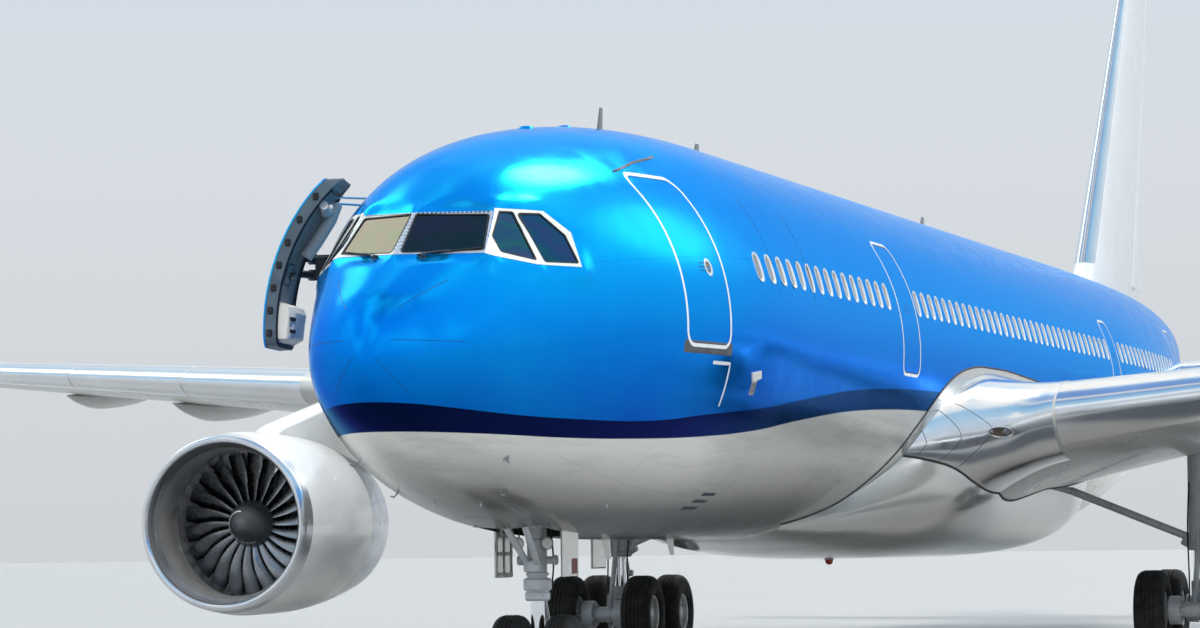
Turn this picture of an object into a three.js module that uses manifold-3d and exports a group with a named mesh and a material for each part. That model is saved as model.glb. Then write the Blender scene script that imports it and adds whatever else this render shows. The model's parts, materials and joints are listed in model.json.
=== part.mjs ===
// A wide-body twin-engine airliner, parked on its gear, as a model at half the real size.
// Every number below is a real, full-size millimetre; the exported group is scaled down at the end.
// The nose points to -Y, the port side is +X and up is +Z. The origin lies on the ground, below
// the middle of the length and of the span. Stations are measured aft from the tip of the nose,
// and heights from the fuselage's centre line.

import * as THREE from "three";
import { mergeVertices } from "three/addons/utils/BufferGeometryUtils.js";
import Module from "manifold-3d";

const wasm = await Module();
wasm.setup();

// Driving dimensions
const MODEL_SCALE = 0.5;
const LENGTH = 58820;
const AXIS_HEIGHT = 4840;
const RADIUS = 2820;
const RING_POINTS = 32;
const FIT = 0.8; // clearance between fixed neighbours
const RUN = 14; // clearance around pieces that move
const PIN_SIDES = 10;

// Fuselage outline ahead of and behind the parallel part.
// Columns: station, half width, top, bottom, height of the widest line
const NOSE = [
  [0, 0, -790, -790, -790],
  [120, 320, -310, -1090, -760],
  [500, 740, 130, -1460, -700],
  [1100, 1070, 530, -1750, -610],
  [2000, 1400, 1170, -2060, -490],
  [3000, 1740, 1750, -2320, -360],
  [4200, 2100, 2150, -2530, -220],
  [5800, 2490, 2470, -2710, -120],
  [8000, 2770, 2710, -2800, -30],
  [11500, RADIUS, RADIUS, -RADIUS, 0],
];
const TAIL = [
  [36500, RADIUS, RADIUS, -RADIUS, 0],
  [40000, 2740, RADIUS, -2550, 130],
  [44000, 2500, 2800, -1850, 470],
  [48000, 2080, 2740, -900, 920],
  [52000, 1480, 2580, 20, 1300],
  [55000, 950, 2350, 600, 1475],
  [57600, 360, 2000, 1150, 1575],
];
const NOSE_TIP = 3; // the outline starts as a small flat here
const RADOME_JOINT = 1050;
const NOSE_JOINT = 8000;
const FORWARD_JOINT = 17500;
const CENTRE_JOINT = 34000;
const REAR_JOINT = 45500;
const TAIL_END = 57600;

// Cockpit glazing, one band around the nose, seen from the side: station and height
const GLAZING = [
  [900, 520],
  [3250, 490],
  [3330, 620],
  [3080, 1190],
  [900, 1190],
];
const GLAZING_DEPTH = 90;

// Passenger door 1 and the way the open one has moved
const DOOR = { front: 5490, rear: 6690, sill: -335, top: 1800, corner: 150, thick: 150 };
const DOORWAY_DEPTH = 1500;
const OPEN_FORWARD = 1340;
const OPEN_OUTWARD = 400;

// Cargo doors on the starboard side, hinged along the top
const CARGO = { width: 2700, bottom: -2080, top: -400, thick: 130 };
const CARGO_STATIONS = { forward: 11300, aft: 38000 };
const CARGO_BAY_DEPTH = 1800;
const CARGO_HINGE_INSET = 20;
const CARGO_HINGE_RADIUS = 20;
const CARGO_TOP_GAP = 60;

// Wing sections. Columns: distance from the centre line, leading edge station,
// leading edge height, chord, thickness to chord, nose-up twist in degrees, cant in degrees
const WING = [
  [1700, 19900, -1120, 11000, 0.15, 4.5, 0],
  [2820, 20600, -1000, 10500, 0.148, 4.2, 0],
  [9900, 25025, 0, 7300, 0.118, 1.2, 0],
  [18700, 30530, 640, 4850, 0.11, 0, 0],
  [28900, 36900, 1480, 2350, 0.105, -1.5, 0],
  [29400, 37380, 1640, 2050, 0.1, -1.5, 30],
  [29720, 37900, 2080, 1700, 0.09, 0, 62],
  [30130, 39300, 3950, 700, 0.08, 0, 66],
];

// Movable surfaces of the wing, as spans and chord fractions. A swept surface sweeps sideways
// as it turns, so its ends have gaps of their own.
const AILERON = { from: 20900, to: 28500, hinge: 0.75, endGaps: [36, 40] };
const INNER_FLAP = { from: 3900, to: 9850, hinge: 0.8, gap: FIT };
const OUTER_FLAP = { from: 9870, to: 20700, hinge: 0.76, gap: FIT };
const SPOILER = { from: 10300, to: 20300, hinge: 0.6, end: 0.715, thick: 70, gap: 28 };
const TRACKS = [
  { span: 6700, length: 4600, depth: 430, width: 420 },
  { span: 14100, length: 6200, depth: 370, width: 550 },
  { span: 17200, length: 4800, depth: 320, width: 480 },
];
const TRACK_LEAD = 0.58; // how much of a track fairing lies ahead of the flap's nose

// Belly fairing. Columns: station, half width, bottom, top of the side
const FAIRING = [
  [16400, 1500, -2830, -2500],
  [18200, 2350, -2950, -1700],
  [20200, 3020, -3090, -1050],
  [22500, 3200, -3160, -700],
  [29500, 3200, -3160, -900],
  [32200, 2700, -3000, -1500],
  [34800, 1400, -2830, -2450],
];

// Tail surfaces, columns as for the wing; the fin's spans are heights
const FIN = [
  [2350, 46300, 0, 9000, 0.1, 0, 0],
  [3300, 47600, 0, 8050, 0.1, 0, 0],
  [12000, 55350, 0, 3160, 0.09, 0, 0],
  [12550, 56250, 0, 2400, 0.05, 0, 0],
];
const RUDDER = { from: 3050, to: 11800, hinge: 0.7, gap: 38, endGaps: [92, 96] };
const STABILISER = [
  [300, 50430, 830, 6200, 0.1, 0, 0],
  [1200, 51040, 925, 5840, 0.1, 0, 0],
  [9400, 56570, 1790, 2180, 0.09, 0, 0],
  [9700, 57120, 1820, 1700, 0.06, 0, 0],
];
const ELEVATOR = { from: 2250, to: 9250, hinge: 0.72, endGaps: [42, 42] };
const TRIM_PIVOT = { station: 55150, height: 910, radius: 130, sides: 36 };
const TRIM_GAP = 28; // between the stabiliser's root and the tail's side

// Engines
const ENGINE = { span: 9370, height: -2450, inlet: 19200 };
// Nacelle outline, outside then inside. Columns: distance aft of the inlet, radius
const NACELLE_OUTSIDE = [
  [0, 1400],
  [130, 1470],
  [700, 1530],
  [2300, 1525],
  [3700, 1420],
  [4650, 1290],
];
const NACELLE_INSIDE = [
  [4650, 1268],
  [3000, 1256],
  [1150, 1256],
  [600, 1210],
  [130, 1300],
];
const NACELLE_SIDES = 24;
const FAN_STATION = 1300;
const FAN_RADIUS = 1230;
const FAN_BLADES = 22;
const FAN_HUB = 400;
const FAN_BACK = 330; // how far the fan's hub reaches behind the blades' front
// Core cowl with its nozzle and plug. Columns: distance aft of the inlet, radius
const CORE = [
  [FAN_STATION + FAN_BACK + FIT, 0],
  [FAN_STATION + FAN_BACK + FIT, 560],
  [2300, 760],
  [3600, 860],
  [4700, 800],
  [5600, 560],
  [5600, 430],
  [6350, 60],
  [6350, 0],
];
const CORE_SIDES = 20;
const CORE_VANES = 8;
// Pylon seen from the side. Columns: station, height
const PYLON = [
  [20500, -1050],
  [21500, -760],
  [24300, -260],
  [25600, -80],
  [28300, -500],
  [28900, -820],
  [27200, -1250],
  [24950, -1880],
  [23700, -1880],
  [20500, -1300],
];
const PYLON_WIDTH = 460;

// Landing gear
const NOSE_GEAR = { station: 6670, tyre: 525, width: 390, track: 710, rim: 270, axle: 62 };
const MAIN_GEAR = { station: 28850, span: 5340, tyre: 700, width: 530, track: 1400, rim: 330, axle: 70 };
const BOGIE_SPACING = 1980;
const WHEEL_SIDES = 18;
const NOSE_BAY = { front: 5350, rear: 7050, half: 430, roof: -2050 };
const TYRE_SHAPE = [
  [-0.38, 0],
  [-0.5, 0.35],
  [-0.47, 0.8],
  [-0.24, 1],
  [0.24, 1],
  [0.47, 0.8],
  [0.5, 0.35],
  [0.38, 0],
];

// Materials, one for each finish: colour, roughness, metalness
const finish = (color, roughness, metalness) =>
  new THREE.MeshStandardMaterial({ color, roughness, metalness });
const BLUE = finish(0x1477c8, 0.2, 0.1);
const WHITE = finish(0xe9edf0, 0.25, 0.1);
const WING_GREY = finish(0xb9bfc4, 0.35, 0.4);
const BARE_METAL = finish(0xc9ccd0, 0.25, 0.9);
const DARK_METAL = finish(0x4a4d52, 0.4, 0.8);
const GLASS = finish(0x101c28, 0.08, 0);
const RUBBER = finish(0x1b1b1c, 0.8, 0);
const GEAR_WHITE = finish(0xd8dadb, 0.4, 0.2);

const root = new THREE.Group();
root.name = "wide_body_airliner";

// Places a mesh for a solid, and for a pair its mirror image on the starboard side.
function add(name, solid, material, mirrored = false) {
  const part = solid.getMesh();
  const geometry = new THREE.BufferGeometry();
  geometry.setAttribute("position", new THREE.BufferAttribute(part.vertProperties, part.numProp));
  geometry.setIndex(new THREE.BufferAttribute(part.triVerts, 1));
  const mesh = new THREE.Mesh(geometry, material);
  mesh.name = name;
  if (mirrored) mesh.scale.x = -1;
  root.add(mesh);
}

function addPair(name, solid, material) {
  add(`${name}_left`, solid, material);
  add(`${name}_right`, solid, material, true);
}

// A point from its distance to port, its station and its height.
function point(side, station, height) {
  return new THREE.Vector3(side, station - LENGTH / 2, height + AXIS_HEIGHT);
}

// A manifold-3d solid from a closed three.js geometry.
function solidOf(geometry) {
  const bare = geometry.index ? geometry.toNonIndexed() : geometry;
  bare.deleteAttribute("normal");
  bare.deleteAttribute("uv");
  const merged = mergeVertices(bare, 1e-3);
  const { array } = merged.attributes.position;
  const triVerts = [];
  const [a, b, c] = [new THREE.Vector3(), new THREE.Vector3(), new THREE.Vector3()];
  let volume = 0;
  for (let i = 0; i < merged.index.count; i += 3) {
    const [p, q, r] = [0, 1, 2].map((k) => merged.index.getX(i + k));
    if (p === q || q === r || r === p) continue;
    triVerts.push(p, q, r);
    a.fromArray(array, 3 * p);
    b.fromArray(array, 3 * q);
    c.fromArray(array, 3 * r);
    volume += a.dot(b.cross(c));
  }
  if (volume < 0) triVerts.reverse();
  return new wasm.Manifold(
    new wasm.Mesh({ numProp: 3, vertProperties: array, triVerts: new Uint32Array(triVerts) }),
  );
}

const join = (solids) => solids.reduce((all, next) => all.add(next));

// A solid through rings of points that run the same way round; point k faces point n - k.
// The faces' diagonals are mirrored too, so rings with equal sides make a symmetric solid.
function loft(rings) {
  const n = rings[0].length;
  const faces = [];
  for (let r = 0; r + 1 < rings.length; r++) {
    for (let k = 0; k < n; k++) {
      const a = r * n + k;
      const b = r * n + ((k + 1) % n);
      if (2 * k < n) faces.push(a, b, b + n, a, b + n, a + n);
      else faces.push(a, b, a + n, b, b + n, a + n);
    }
  }
  const last = (rings.length - 1) * n;
  for (let k = 0; 2 * k + 1 < n; k++) {
    const [a, b, c, d] = [k, k + 1, n - k - 1, (n - k) % n];
    if (b < c) {
      faces.push(a, c, b);
      faces.push(last + a, last + b, last + c);
    }
    if (k > 0) {
      faces.push(a, d, c);
      faces.push(last + a, last + c, last + d);
    }
  }
  const geometry = new THREE.BufferGeometry().setFromPoints(rings.flat());
  geometry.setIndex(faces);
  return solidOf(geometry);
}

// A column of a table as a smooth function of its first column, without overshoot.
function column(table, index, warp) {
  const at = table.map((row) => warp(row[0]));
  const value = table.map((row) => row[index]);
  const rise = value.slice(1).map((v, i) => (v - value[i]) / (at[i + 1] - at[i]));
  const slope = value.map((_, i) => {
    if (i === 0) return rise[0];
    if (i === rise.length) return rise[i - 1];
    const [before, after] = [rise[i - 1], rise[i]];
    return before * after > 0 ? (2 * before * after) / (before + after) : 0;
  });
  return (station) => {
    const s = warp(station);
    let i = 0;
    while (i < rise.length - 1 && s > at[i + 1]) i++;
    const width = at[i + 1] - at[i];
    const t = (s - at[i]) / width;
    const curve =
      (1 + 2 * t) * (1 - t) ** 2 * value[i] + t * t * (3 - 2 * t) * value[i + 1];
    return curve + width * (t * (1 - t) ** 2 * slope[i] - t * t * (1 - t) * slope[i + 1]);
  };
}

const columns = (table, warp) => [1, 2, 3, 4].map((index) => column(table, index, warp));
const noseShape = columns(NOSE, Math.sqrt);
const tailShape = columns(TAIL, (station) => station);

// Half width, top, bottom and widest height of the fuselage at a station.
function outline(station) {
  if (station < NOSE.at(-1)[0]) return noseShape.map((f) => f(station));
  if (station > TAIL[0][0]) return tailShape.map((f) => f(station));
  return [RADIUS, RADIUS, -RADIUS, 0];
}

// One ring of the fuselage, inset or (below zero) grown by some millimetres.
function fuselageRing(station, inset = 0) {
  const [half, top, bottom, widest] = outline(station);
  const ring = [];
  for (let k = 0; k < RING_POINTS; k++) {
    const angle = (2 * Math.PI * k) / RING_POINTS;
    const reach = Math.cos(angle) > 0 ? top - widest : widest - bottom;
    ring.push(
      point(
        (half - inset) * Math.sin(angle),
        station,
        widest + (reach - inset) * Math.cos(angle),
      ),
    );
  }
  return ring;
}

const NOSE_RINGS = [
  NOSE_TIP, 30, 120, 300, 600, 1050, 1500, 2000, 2500, 3000, 3600, 4200, 5000, 5800, 6800, 8000, 9500,
  11500,
];
const TAIL_RINGS = [36500, 38500, 40700, 43000, 45500, 48000, 50500, 53000, 55000, 56500, TAIL_END];

// The fuselage between two stations, with a ring at each station of the lists above.
function fuselage(from, to, inset = 0) {
  const between = [...NOSE_RINGS, ...TAIL_RINGS].filter((s) => s > from && s < to);
  return loft([from, ...between, to].map((station) => fuselageRing(station, inset)));
}

// A prism across the fuselage from an outline of stations and heights.
function sidePrism(corners, from, to) {
  const shape = new THREE.Shape(corners.map(([s, h]) => new THREE.Vector2(s, h)));
  return shapePrism(shape, from, to);
}

function shapePrism(shape, from, to) {
  const depth = Math.abs(to - from);
  const geometry = new THREE.ExtrudeGeometry(shape, { depth, bevelEnabled: false, curveSegments: 4 });
  geometry.applyMatrix4(
    new THREE.Matrix4().set(
      0, 0, 1, Math.min(from, to),
      1, 0, 0, -LENGTH / 2,
      0, 1, 0, AXIS_HEIGHT,
      0, 0, 0, 1,
    ),
  );
  return solidOf(geometry);
}

// A rectangle with round corners in the side view.
function roundedDoor(front, rear, bottom, top, corner) {
  const shape = new THREE.Shape();
  shape.moveTo(front + corner, bottom);
  shape.lineTo(rear - corner, bottom);
  shape.absarc(rear - corner, bottom + corner, corner, -Math.PI / 2, 0);
  shape.lineTo(rear, top - corner);
  shape.absarc(rear - corner, top - corner, corner, 0, Math.PI / 2);
  shape.lineTo(front + corner, top);
  shape.absarc(front + corner, top - corner, corner, Math.PI / 2, Math.PI);
  shape.lineTo(front, bottom + corner);
  shape.absarc(front + corner, bottom + corner, corner, Math.PI, 1.5 * Math.PI);
  return shape;
}

// A round bar between two points; sides sets how many faces it has.
function rod(from, to, radius, sides = 12, endRadius = radius) {
  const length = from.distanceTo(to);
  const geometry = new THREE.CylinderGeometry(endRadius, radius, length, sides);
  const turn = new THREE.Quaternion().setFromUnitVectors(
    new THREE.Vector3(0, 1, 0),
    to.clone().sub(from).normalize(),
  );
  const middle = from.clone().add(to).multiplyScalar(0.5);
  geometry.applyMatrix4(
    new THREE.Matrix4().compose(middle, turn, new THREE.Vector3(1, 1, 1)),
  );
  return solidOf(geometry);
}

// A box from its middle and its sizes across, along and up.
function block(side, station, height, across, along, up) {
  const geometry = new THREE.BoxGeometry(across, along, up);
  const { x, y, z } = point(side, station, height);
  geometry.translate(x, y, z);
  return solidOf(geometry);
}

// A body of revolution from pairs of distance along the axis and radius. The axis runs aft from
// a point, or to port for wheels.
function turned(profile, at, along, segments = WHEEL_SIDES) {
  const points = profile.map(([distance, radius]) => new THREE.Vector2(radius, distance));
  const geometry = new THREE.LatheGeometry(points, segments);
  if (along === "side") geometry.rotateZ(-Math.PI / 2);
  geometry.translate(at.x, at.y, at.z);
  return solidOf(geometry);
}

const closed = (profile) => [...profile, profile[0]];

// Fuselage skin sections, with their doors, bays and glazing
const radome = fuselage(NOSE_TIP, RADOME_JOINT - FIT);
let noseSection = fuselage(RADOME_JOINT, NOSE_JOINT - FIT);
let forwardFuselage = fuselage(NOSE_JOINT, FORWARD_JOINT - FIT);
const centreFuselage = fuselage(FORWARD_JOINT, CENTRE_JOINT - FIT);
let rearFuselage = fuselage(CENTRE_JOINT, REAR_JOINT - FIT);
let tailCone = fuselage(REAR_JOINT, TAIL_END);

const glazingPrism = sidePrism(GLAZING, -RADIUS, RADIUS);
const glazingCore = fuselage(RADOME_JOINT, DOOR.front, GLAZING_DEPTH);
const glazingPocketCore = fuselage(RADOME_JOINT - FIT, DOOR.front, GLAZING_DEPTH + FIT);
const grownGlazing = sidePrism(
  GLAZING.map(([s, h]) => [s + (s > 2000 ? FIT : 0), h + (h > 800 ? FIT : -FIT)]),
  -RADIUS,
  RADIUS,
);
const cockpitWindows = noseSection.intersect(glazingPrism).subtract(glazingCore);
noseSection = noseSection.subtract(grownGlazing.subtract(glazingPocketCore));

// Door 1: the port one fills its frame, the starboard one stands open ahead of it.
const doorShape = (grow) =>
  roundedDoor(
    DOOR.front - grow,
    DOOR.rear + grow,
    DOOR.sill - grow,
    DOOR.top + grow,
    DOOR.corner + grow,
  );
const doorSkin = fuselage(RADOME_JOINT, NOSE_JOINT);
const doorLining = fuselage(RADOME_JOINT, NOSE_JOINT, DOOR.thick);
const doorBack = fuselage(RADOME_JOINT, NOSE_JOINT, DOOR.thick + FIT);
const closedDoor = shapePrism(doorShape(0), 0, RADIUS).intersect(doorSkin).subtract(doorLining);
noseSection = noseSection.subtract(shapePrism(doorShape(FIT), 0, RADIUS).subtract(doorBack));
const [doorHalfWidth] = outline(DOOR.rear);
noseSection = noseSection.subtract(
  shapePrism(doorShape(RUN), -doorHalfWidth + DOORWAY_DEPTH, -RADIUS - OPEN_OUTWARD),
);

const doorMiddle = (DOOR.sill + DOOR.top) / 2;
const openPanel = shapePrism(doorShape(0), -RADIUS, 0)
  .intersect(doorSkin)
  .subtract(doorLining)
  .translate([-OPEN_OUTWARD, -OPEN_FORWARD, 0]);
const SLIDE_PACK = { across: 260, along: 900, up: 520 };
const panelInner = -outline((DOOR.front + DOOR.rear) / 2)[0] - OPEN_OUTWARD + DOOR.thick;
const slidePack = block(
  panelInner + SLIDE_PACK.across / 2 - 60,
  (DOOR.front + DOOR.rear) / 2 - OPEN_FORWARD,
  DOOR.sill + SLIDE_PACK.up / 2 + 40,
  SLIDE_PACK.across,
  SLIDE_PACK.along,
  SLIDE_PACK.up,
);
const ARM_RADIUS = 55;
const ARM_HEIGHTS = [doorMiddle - 60, doorMiddle + 150];
const armBend = DOOR.front + 250;
const armEnd = -outline(DOOR.front)[0] + 320;
const arms = ARM_HEIGHTS.map((height) =>
  rod(
    point(panelInner - 40, DOOR.rear - OPEN_FORWARD - 300, height),
    point(panelInner + 60, armBend, height),
    ARM_RADIUS,
  ).add(
    rod(
      point(panelInner, armBend, height),
      point(armEnd, armBend, height),
      ARM_RADIUS,
    ),
  ),
);
const armPost = rod(
  point(armEnd, armBend, DOOR.sill - RUN + FIT),
  point(armEnd, armBend, doorMiddle + 260),
  ARM_RADIUS + 15,
);
const openDoor = join([openPanel, slidePack, ...arms, armPost]);

// Cargo doors: a curved panel that swings out and up about pins along its top edge.
const cargoHingeHeight = CARGO.top - CARGO_HINGE_INSET;

function cargoDoor(front, skin, lining) {
  const rear = front + CARGO.width;
  const half = -outline(rear)[0];
  const panel = shapePrism(
    roundedDoor(front, rear, CARGO.bottom, CARGO.top, 90),
    -RADIUS,
    0,
  );
  const frame = shapePrism(
    roundedDoor(front - RUN, rear + RUN, CARGO.bottom - RUN, CARGO.top + CARGO_TOP_GAP, 90),
    -RADIUS - RUN,
    half + CARGO_BAY_DEPTH,
  );
  const [halfFront, , bottomFront, widestFront] = outline(front);
  const [halfRear, , bottomRear, widestRear] = outline(rear);
  const hingeSide = (wide, bottom, widest) =>
    -wide * Math.sqrt(1 - ((cargoHingeHeight - widest) / (widest - bottom)) ** 2) + CARGO_HINGE_INSET;
  const start = point(hingeSide(halfFront, bottomFront, widestFront), front, cargoHingeHeight);
  const end = point(hingeSide(halfRear, bottomRear, widestRear), rear, cargoHingeHeight);
  const way = end.clone().sub(start).normalize().multiplyScalar(RUN + 70);
  const pin = (radius, more) =>
    rod(
      start.clone().sub(way).addScaledVector(way, -more),
      end.clone().add(way).addScaledVector(way, more),
      radius,
      PIN_SIDES,
    );
  const door = panel.intersect(skin).subtract(lining).add(pin(CARGO_HINGE_RADIUS, 0));
  const bore = pin((CARGO_HINGE_RADIUS + FIT) / Math.cos(Math.PI / PIN_SIDES), 0.01);
  return { door, hole: frame.add(bore), start, end };
}

const forwardCargo = cargoDoor(
  CARGO_STATIONS.forward,
  fuselage(NOSE_JOINT, FORWARD_JOINT),
  fuselage(NOSE_JOINT, FORWARD_JOINT, CARGO.thick),
);
const aftCargo = cargoDoor(
  CARGO_STATIONS.aft,
  fuselage(CENTRE_JOINT, REAR_JOINT),
  fuselage(CENTRE_JOINT, REAR_JOINT, CARGO.thick),
);
forwardFuselage = forwardFuselage.subtract(forwardCargo.hole);
rearFuselage = rearFuselage.subtract(aftCargo.hole);

// Nose gear bay, open below
const noseBay = block(
  0,
  (NOSE_BAY.front + NOSE_BAY.rear) / 2,
  NOSE_BAY.roof - 500,
  2 * NOSE_BAY.half,
  NOSE_BAY.rear - NOSE_BAY.front,
  1000,
);
noseSection = noseSection.subtract(noseBay);

// Lifting surfaces
const CHORD_STEPS = [1, 0.86, 0.72, 0.5, 0.3, 0.14, 0.05, 0.012];

// Half the thickness of a streamlined section at a fraction of its chord, for unit thickness.
function halfThickness(t) {
  return (
    5 * (0.2969 * Math.sqrt(t) - 0.126 * t - 0.3516 * t ** 2 + 0.2843 * t ** 3 - 0.1015 * t ** 4)
  );
}

// The row of a table of sections at a span, with straight lines between rows.
function sectionAt(table, span) {
  let i = 0;
  while (i < table.length - 2 && span > table[i + 1][0]) i++;
  const [low, high] = [table[i], table[i + 1]];
  const t = (span - low[0]) / (high[0] - low[0]);
  return low.map((value, k) => value + t * (high[k] - value));
}

// A point of a section: chord fraction, and offset from the chord line. The fin stands upright.
function surfacePoint(row, t, offset, upright) {
  const [span, station, height, chord, , twist, cant] = row;
  const turn = THREE.MathUtils.degToRad(twist);
  const lean = THREE.MathUtils.degToRad(cant);
  const along = t * chord * Math.cos(turn) + offset * Math.sin(turn);
  const up = offset * Math.cos(turn) - t * chord * Math.sin(turn);
  if (upright) return point(offset, station + along, span);
  return point(span - up * Math.sin(lean), station + along, height + up * Math.cos(lean));
}

function sectionRing(row, upright, grow = 0) {
  const thick = row[3] * row[4];
  const at = (t, sign) =>
    surfacePoint(row, t, sign * (thick * halfThickness(t) + grow), upright);
  return [
    ...CHORD_STEPS.map((t) => at(t, 1)),
    surfacePoint(row, -grow / row[3], 0, upright),
    ...CHORD_STEPS.toReversed().map((t) => at(t, -1)),
  ];
}

const surface = (table, upright = false, grow = 0) =>
  loft(table.map((row) => sectionRing(row, upright, grow)));

// A control surface with a round nose about its hinge line, and the gap it leaves.
function control(table, { from, to, hinge, gap = RUN, endGaps }, { upright = false, pins = true } = {}) {
  const [startGap, endGap] = endGaps ?? [gap, gap];
  const half = (row, t) => row[3] * row[4] * halfThickness(t);
  const NOSE_STEPS = 4;
  const ringAt = (span) => {
    const row = sectionAt(table, span);
    const radius = half(row, hinge);
    const middle = (1 + hinge) / 2;
    const ring = [surfacePoint(row, 1, half(row, 1), upright)];
    ring.push(surfacePoint(row, middle, half(row, middle), upright));
    for (let k = 0; k <= NOSE_STEPS; k++) {
      const angle = (Math.PI * k) / NOSE_STEPS;
      const t = hinge - (radius * Math.sin(angle)) / row[3];
      ring.push(surfacePoint(row, t, radius * Math.cos(angle), upright));
    }
    ring.push(surfacePoint(row, middle, -half(row, middle), upright));
    ring.push(surfacePoint(row, 1, -half(row, 1), upright));
    return ring;
  };
  const spans = [from, ...table.map((row) => row[0]).filter((s) => s > from && s < to), to];
  let moving = loft(spans.map(ringAt));
  // The gap ahead of the nose is a plane across the whole depth of the surface.
  const across = upright ? new THREE.Vector3(1, 0, 0) : new THREE.Vector3(0, 0, 1);
  const cutAt = (span, place) => {
    const row = sectionAt(table, place);
    row[0] = span;
    const axis = surfacePoint(row, hinge, 0, upright);
    const corner = (aft, deep) =>
      axis.clone().addScaledVector(across, deep).add(new THREE.Vector3(0, aft, 0));
    const front = -half(row, hinge) - gap;
    const back = 0.6 * row[3];
    const deep = row[3] * row[4];
    return [corner(back, deep), corner(front, deep), corner(front, -deep), corner(back, -deep)];
  };
  const inner = spans.map((span) => cutAt(span, span));
  let cut = loft([cutAt(from - startGap, from), ...inner, cutAt(to + endGap, to)]);
  const ends = [from, to].map((span) => surfacePoint(sectionAt(table, span), hinge, 0, upright));
  if (pins) {
    const way = ends[1].clone().sub(ends[0]).normalize();
    [-1, 1].forEach((sign, i) => {
      const radius = 0.45 * half(sectionAt(table, [from, to][i]), hinge);
      const reach = [startGap, endGap][i] + 90;
      const tip = (length) => ends[i].clone().addScaledVector(way, sign * length);
      moving = moving.add(rod(tip(-radius - 40), tip(reach), radius, PIN_SIDES));
      const bore = (radius + FIT) / Math.cos(Math.PI / PIN_SIDES);
      cut = cut.add(rod(tip(-radius - 40), tip(reach + 2), bore, PIN_SIDES));
    });
  }
  return { moving, cut, ends };
}

// Wing, with its flaps, aileron and spoilers taken out of it
const wingLoft = surface(WING);
const wingGrown = surface(WING, false, FIT);
const aileron = control(WING, AILERON);
const innerFlap = control(WING, INNER_FLAP, { pins: false });
const outerFlap = control(WING, OUTER_FLAP, { pins: false });

// Spoilers lie in the upper surface, ahead of the outer flap, and lift about their front edge.
function spoilers() {
  const { from, to, hinge, end, thick, gap } = SPOILER;
  const radius = thick / 2;
  const upper = (row, t) => row[3] * row[4] * halfThickness(t);
  const plateAt = (span) => {
    const row = sectionAt(WING, span);
    const top = upper(row, hinge);
    return [
      surfacePoint(row, end, upper(row, end), false),
      surfacePoint(row, hinge, top, false),
      surfacePoint(row, hinge - (0.7 * radius) / row[3], top - 0.3 * radius, false),
      surfacePoint(row, hinge - radius / row[3], top - radius, false),
      surfacePoint(row, hinge - (0.7 * radius) / row[3], top - 1.7 * radius, false),
      surfacePoint(row, hinge, top - thick, false),
      surfacePoint(row, end, upper(row, end) - thick * 0.35, false),
    ];
  };
  const holeAt = (span, place) => {
    const row = sectionAt(WING, place);
    row[0] = span;
    const front = hinge - (radius + gap) / row[3];
    const back = end + gap / row[3];
    const top = upper(row, hinge);
    return [
      surfacePoint(row, back, top + thick, false),
      surfacePoint(row, front, top + thick, false),
      surfacePoint(row, front, top - thick - gap, false),
      surfacePoint(row, back, upper(row, end) - thick * 0.35 - gap, false),
    ];
  };
  const spans = [from, WING[3][0], to];
  let moving = loft(spans.map(plateAt));
  let cut = loft([holeAt(from - RUN, from), holeAt(spans[1], spans[1]), holeAt(to + RUN, to)]);
  const ends = [from, to].map((span) => {
    const row = sectionAt(WING, span);
    return surfacePoint(row, hinge, upper(row, hinge) - radius, false);
  });
  const way = ends[1].clone().sub(ends[0]).normalize();
  [-1, 1].forEach((sign, i) => {
    const tip = (length) => ends[i].clone().addScaledVector(way, sign * length);
    const pinRadius = 0.7 * radius;
    const bore = (pinRadius + FIT) / Math.cos(Math.PI / PIN_SIDES);
    moving = moving.add(rod(tip(-40), tip(RUN + 60), pinRadius, PIN_SIDES));
    cut = cut.add(rod(tip(-40), tip(RUN + 62), bore, PIN_SIDES));
  });
  return { moving, cut, ends };
}
const spoiler = spoilers();

// Flap track fairings hang below the wing and reach back past its trailing edge.
const flapZone = innerFlap.cut.add(outerFlap.cut).intersect(surface(WING, false, 6 * FIT));

function trackFairing({ span, length, depth, width }) {
  const row = sectionAt(WING, span);
  const hinge = span < INNER_FLAP.to ? INNER_FLAP.hinge : OUTER_FLAP.hinge;
  const start = hinge * row[3] - length * TRACK_LEAD;
  const shape = [
    [0, 0.06],
    [0.12, 0.5],
    [0.34, 0.95],
    [0.6, 1],
    [0.85, 0.85],
    [1, 0.1],
  ];
  const rings = shape.map(([t, size]) => {
    const along = (start + t * length) / row[3];
    const under = along < 1 ? row[3] * row[4] * halfThickness(Math.min(along, 1)) : 0;
    const centre = surfacePoint(row, along, -under - depth * 0.15, false);
    const ring = [];
    for (let k = 0; k < 10; k++) {
      const angle = (2 * Math.PI * k) / 10;
      const reach = Math.cos(angle) > 0 ? 0.35 : 0.85;
      ring.push(
        centre
          .clone()
          .add(
            new THREE.Vector3(
              (width / 2) * size * Math.sin(angle),
              0,
              depth * size * reach * Math.cos(angle),
            ),
          ),
      );
    }
    return ring;
  });
  return loft(rings).subtract(flapZone);
}

let wing = wingLoft
  .subtract(join([aileron.cut, innerFlap.cut, outerFlap.cut, spoiler.cut]))
  .add(join(TRACKS.map(trackFairing)));

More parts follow.
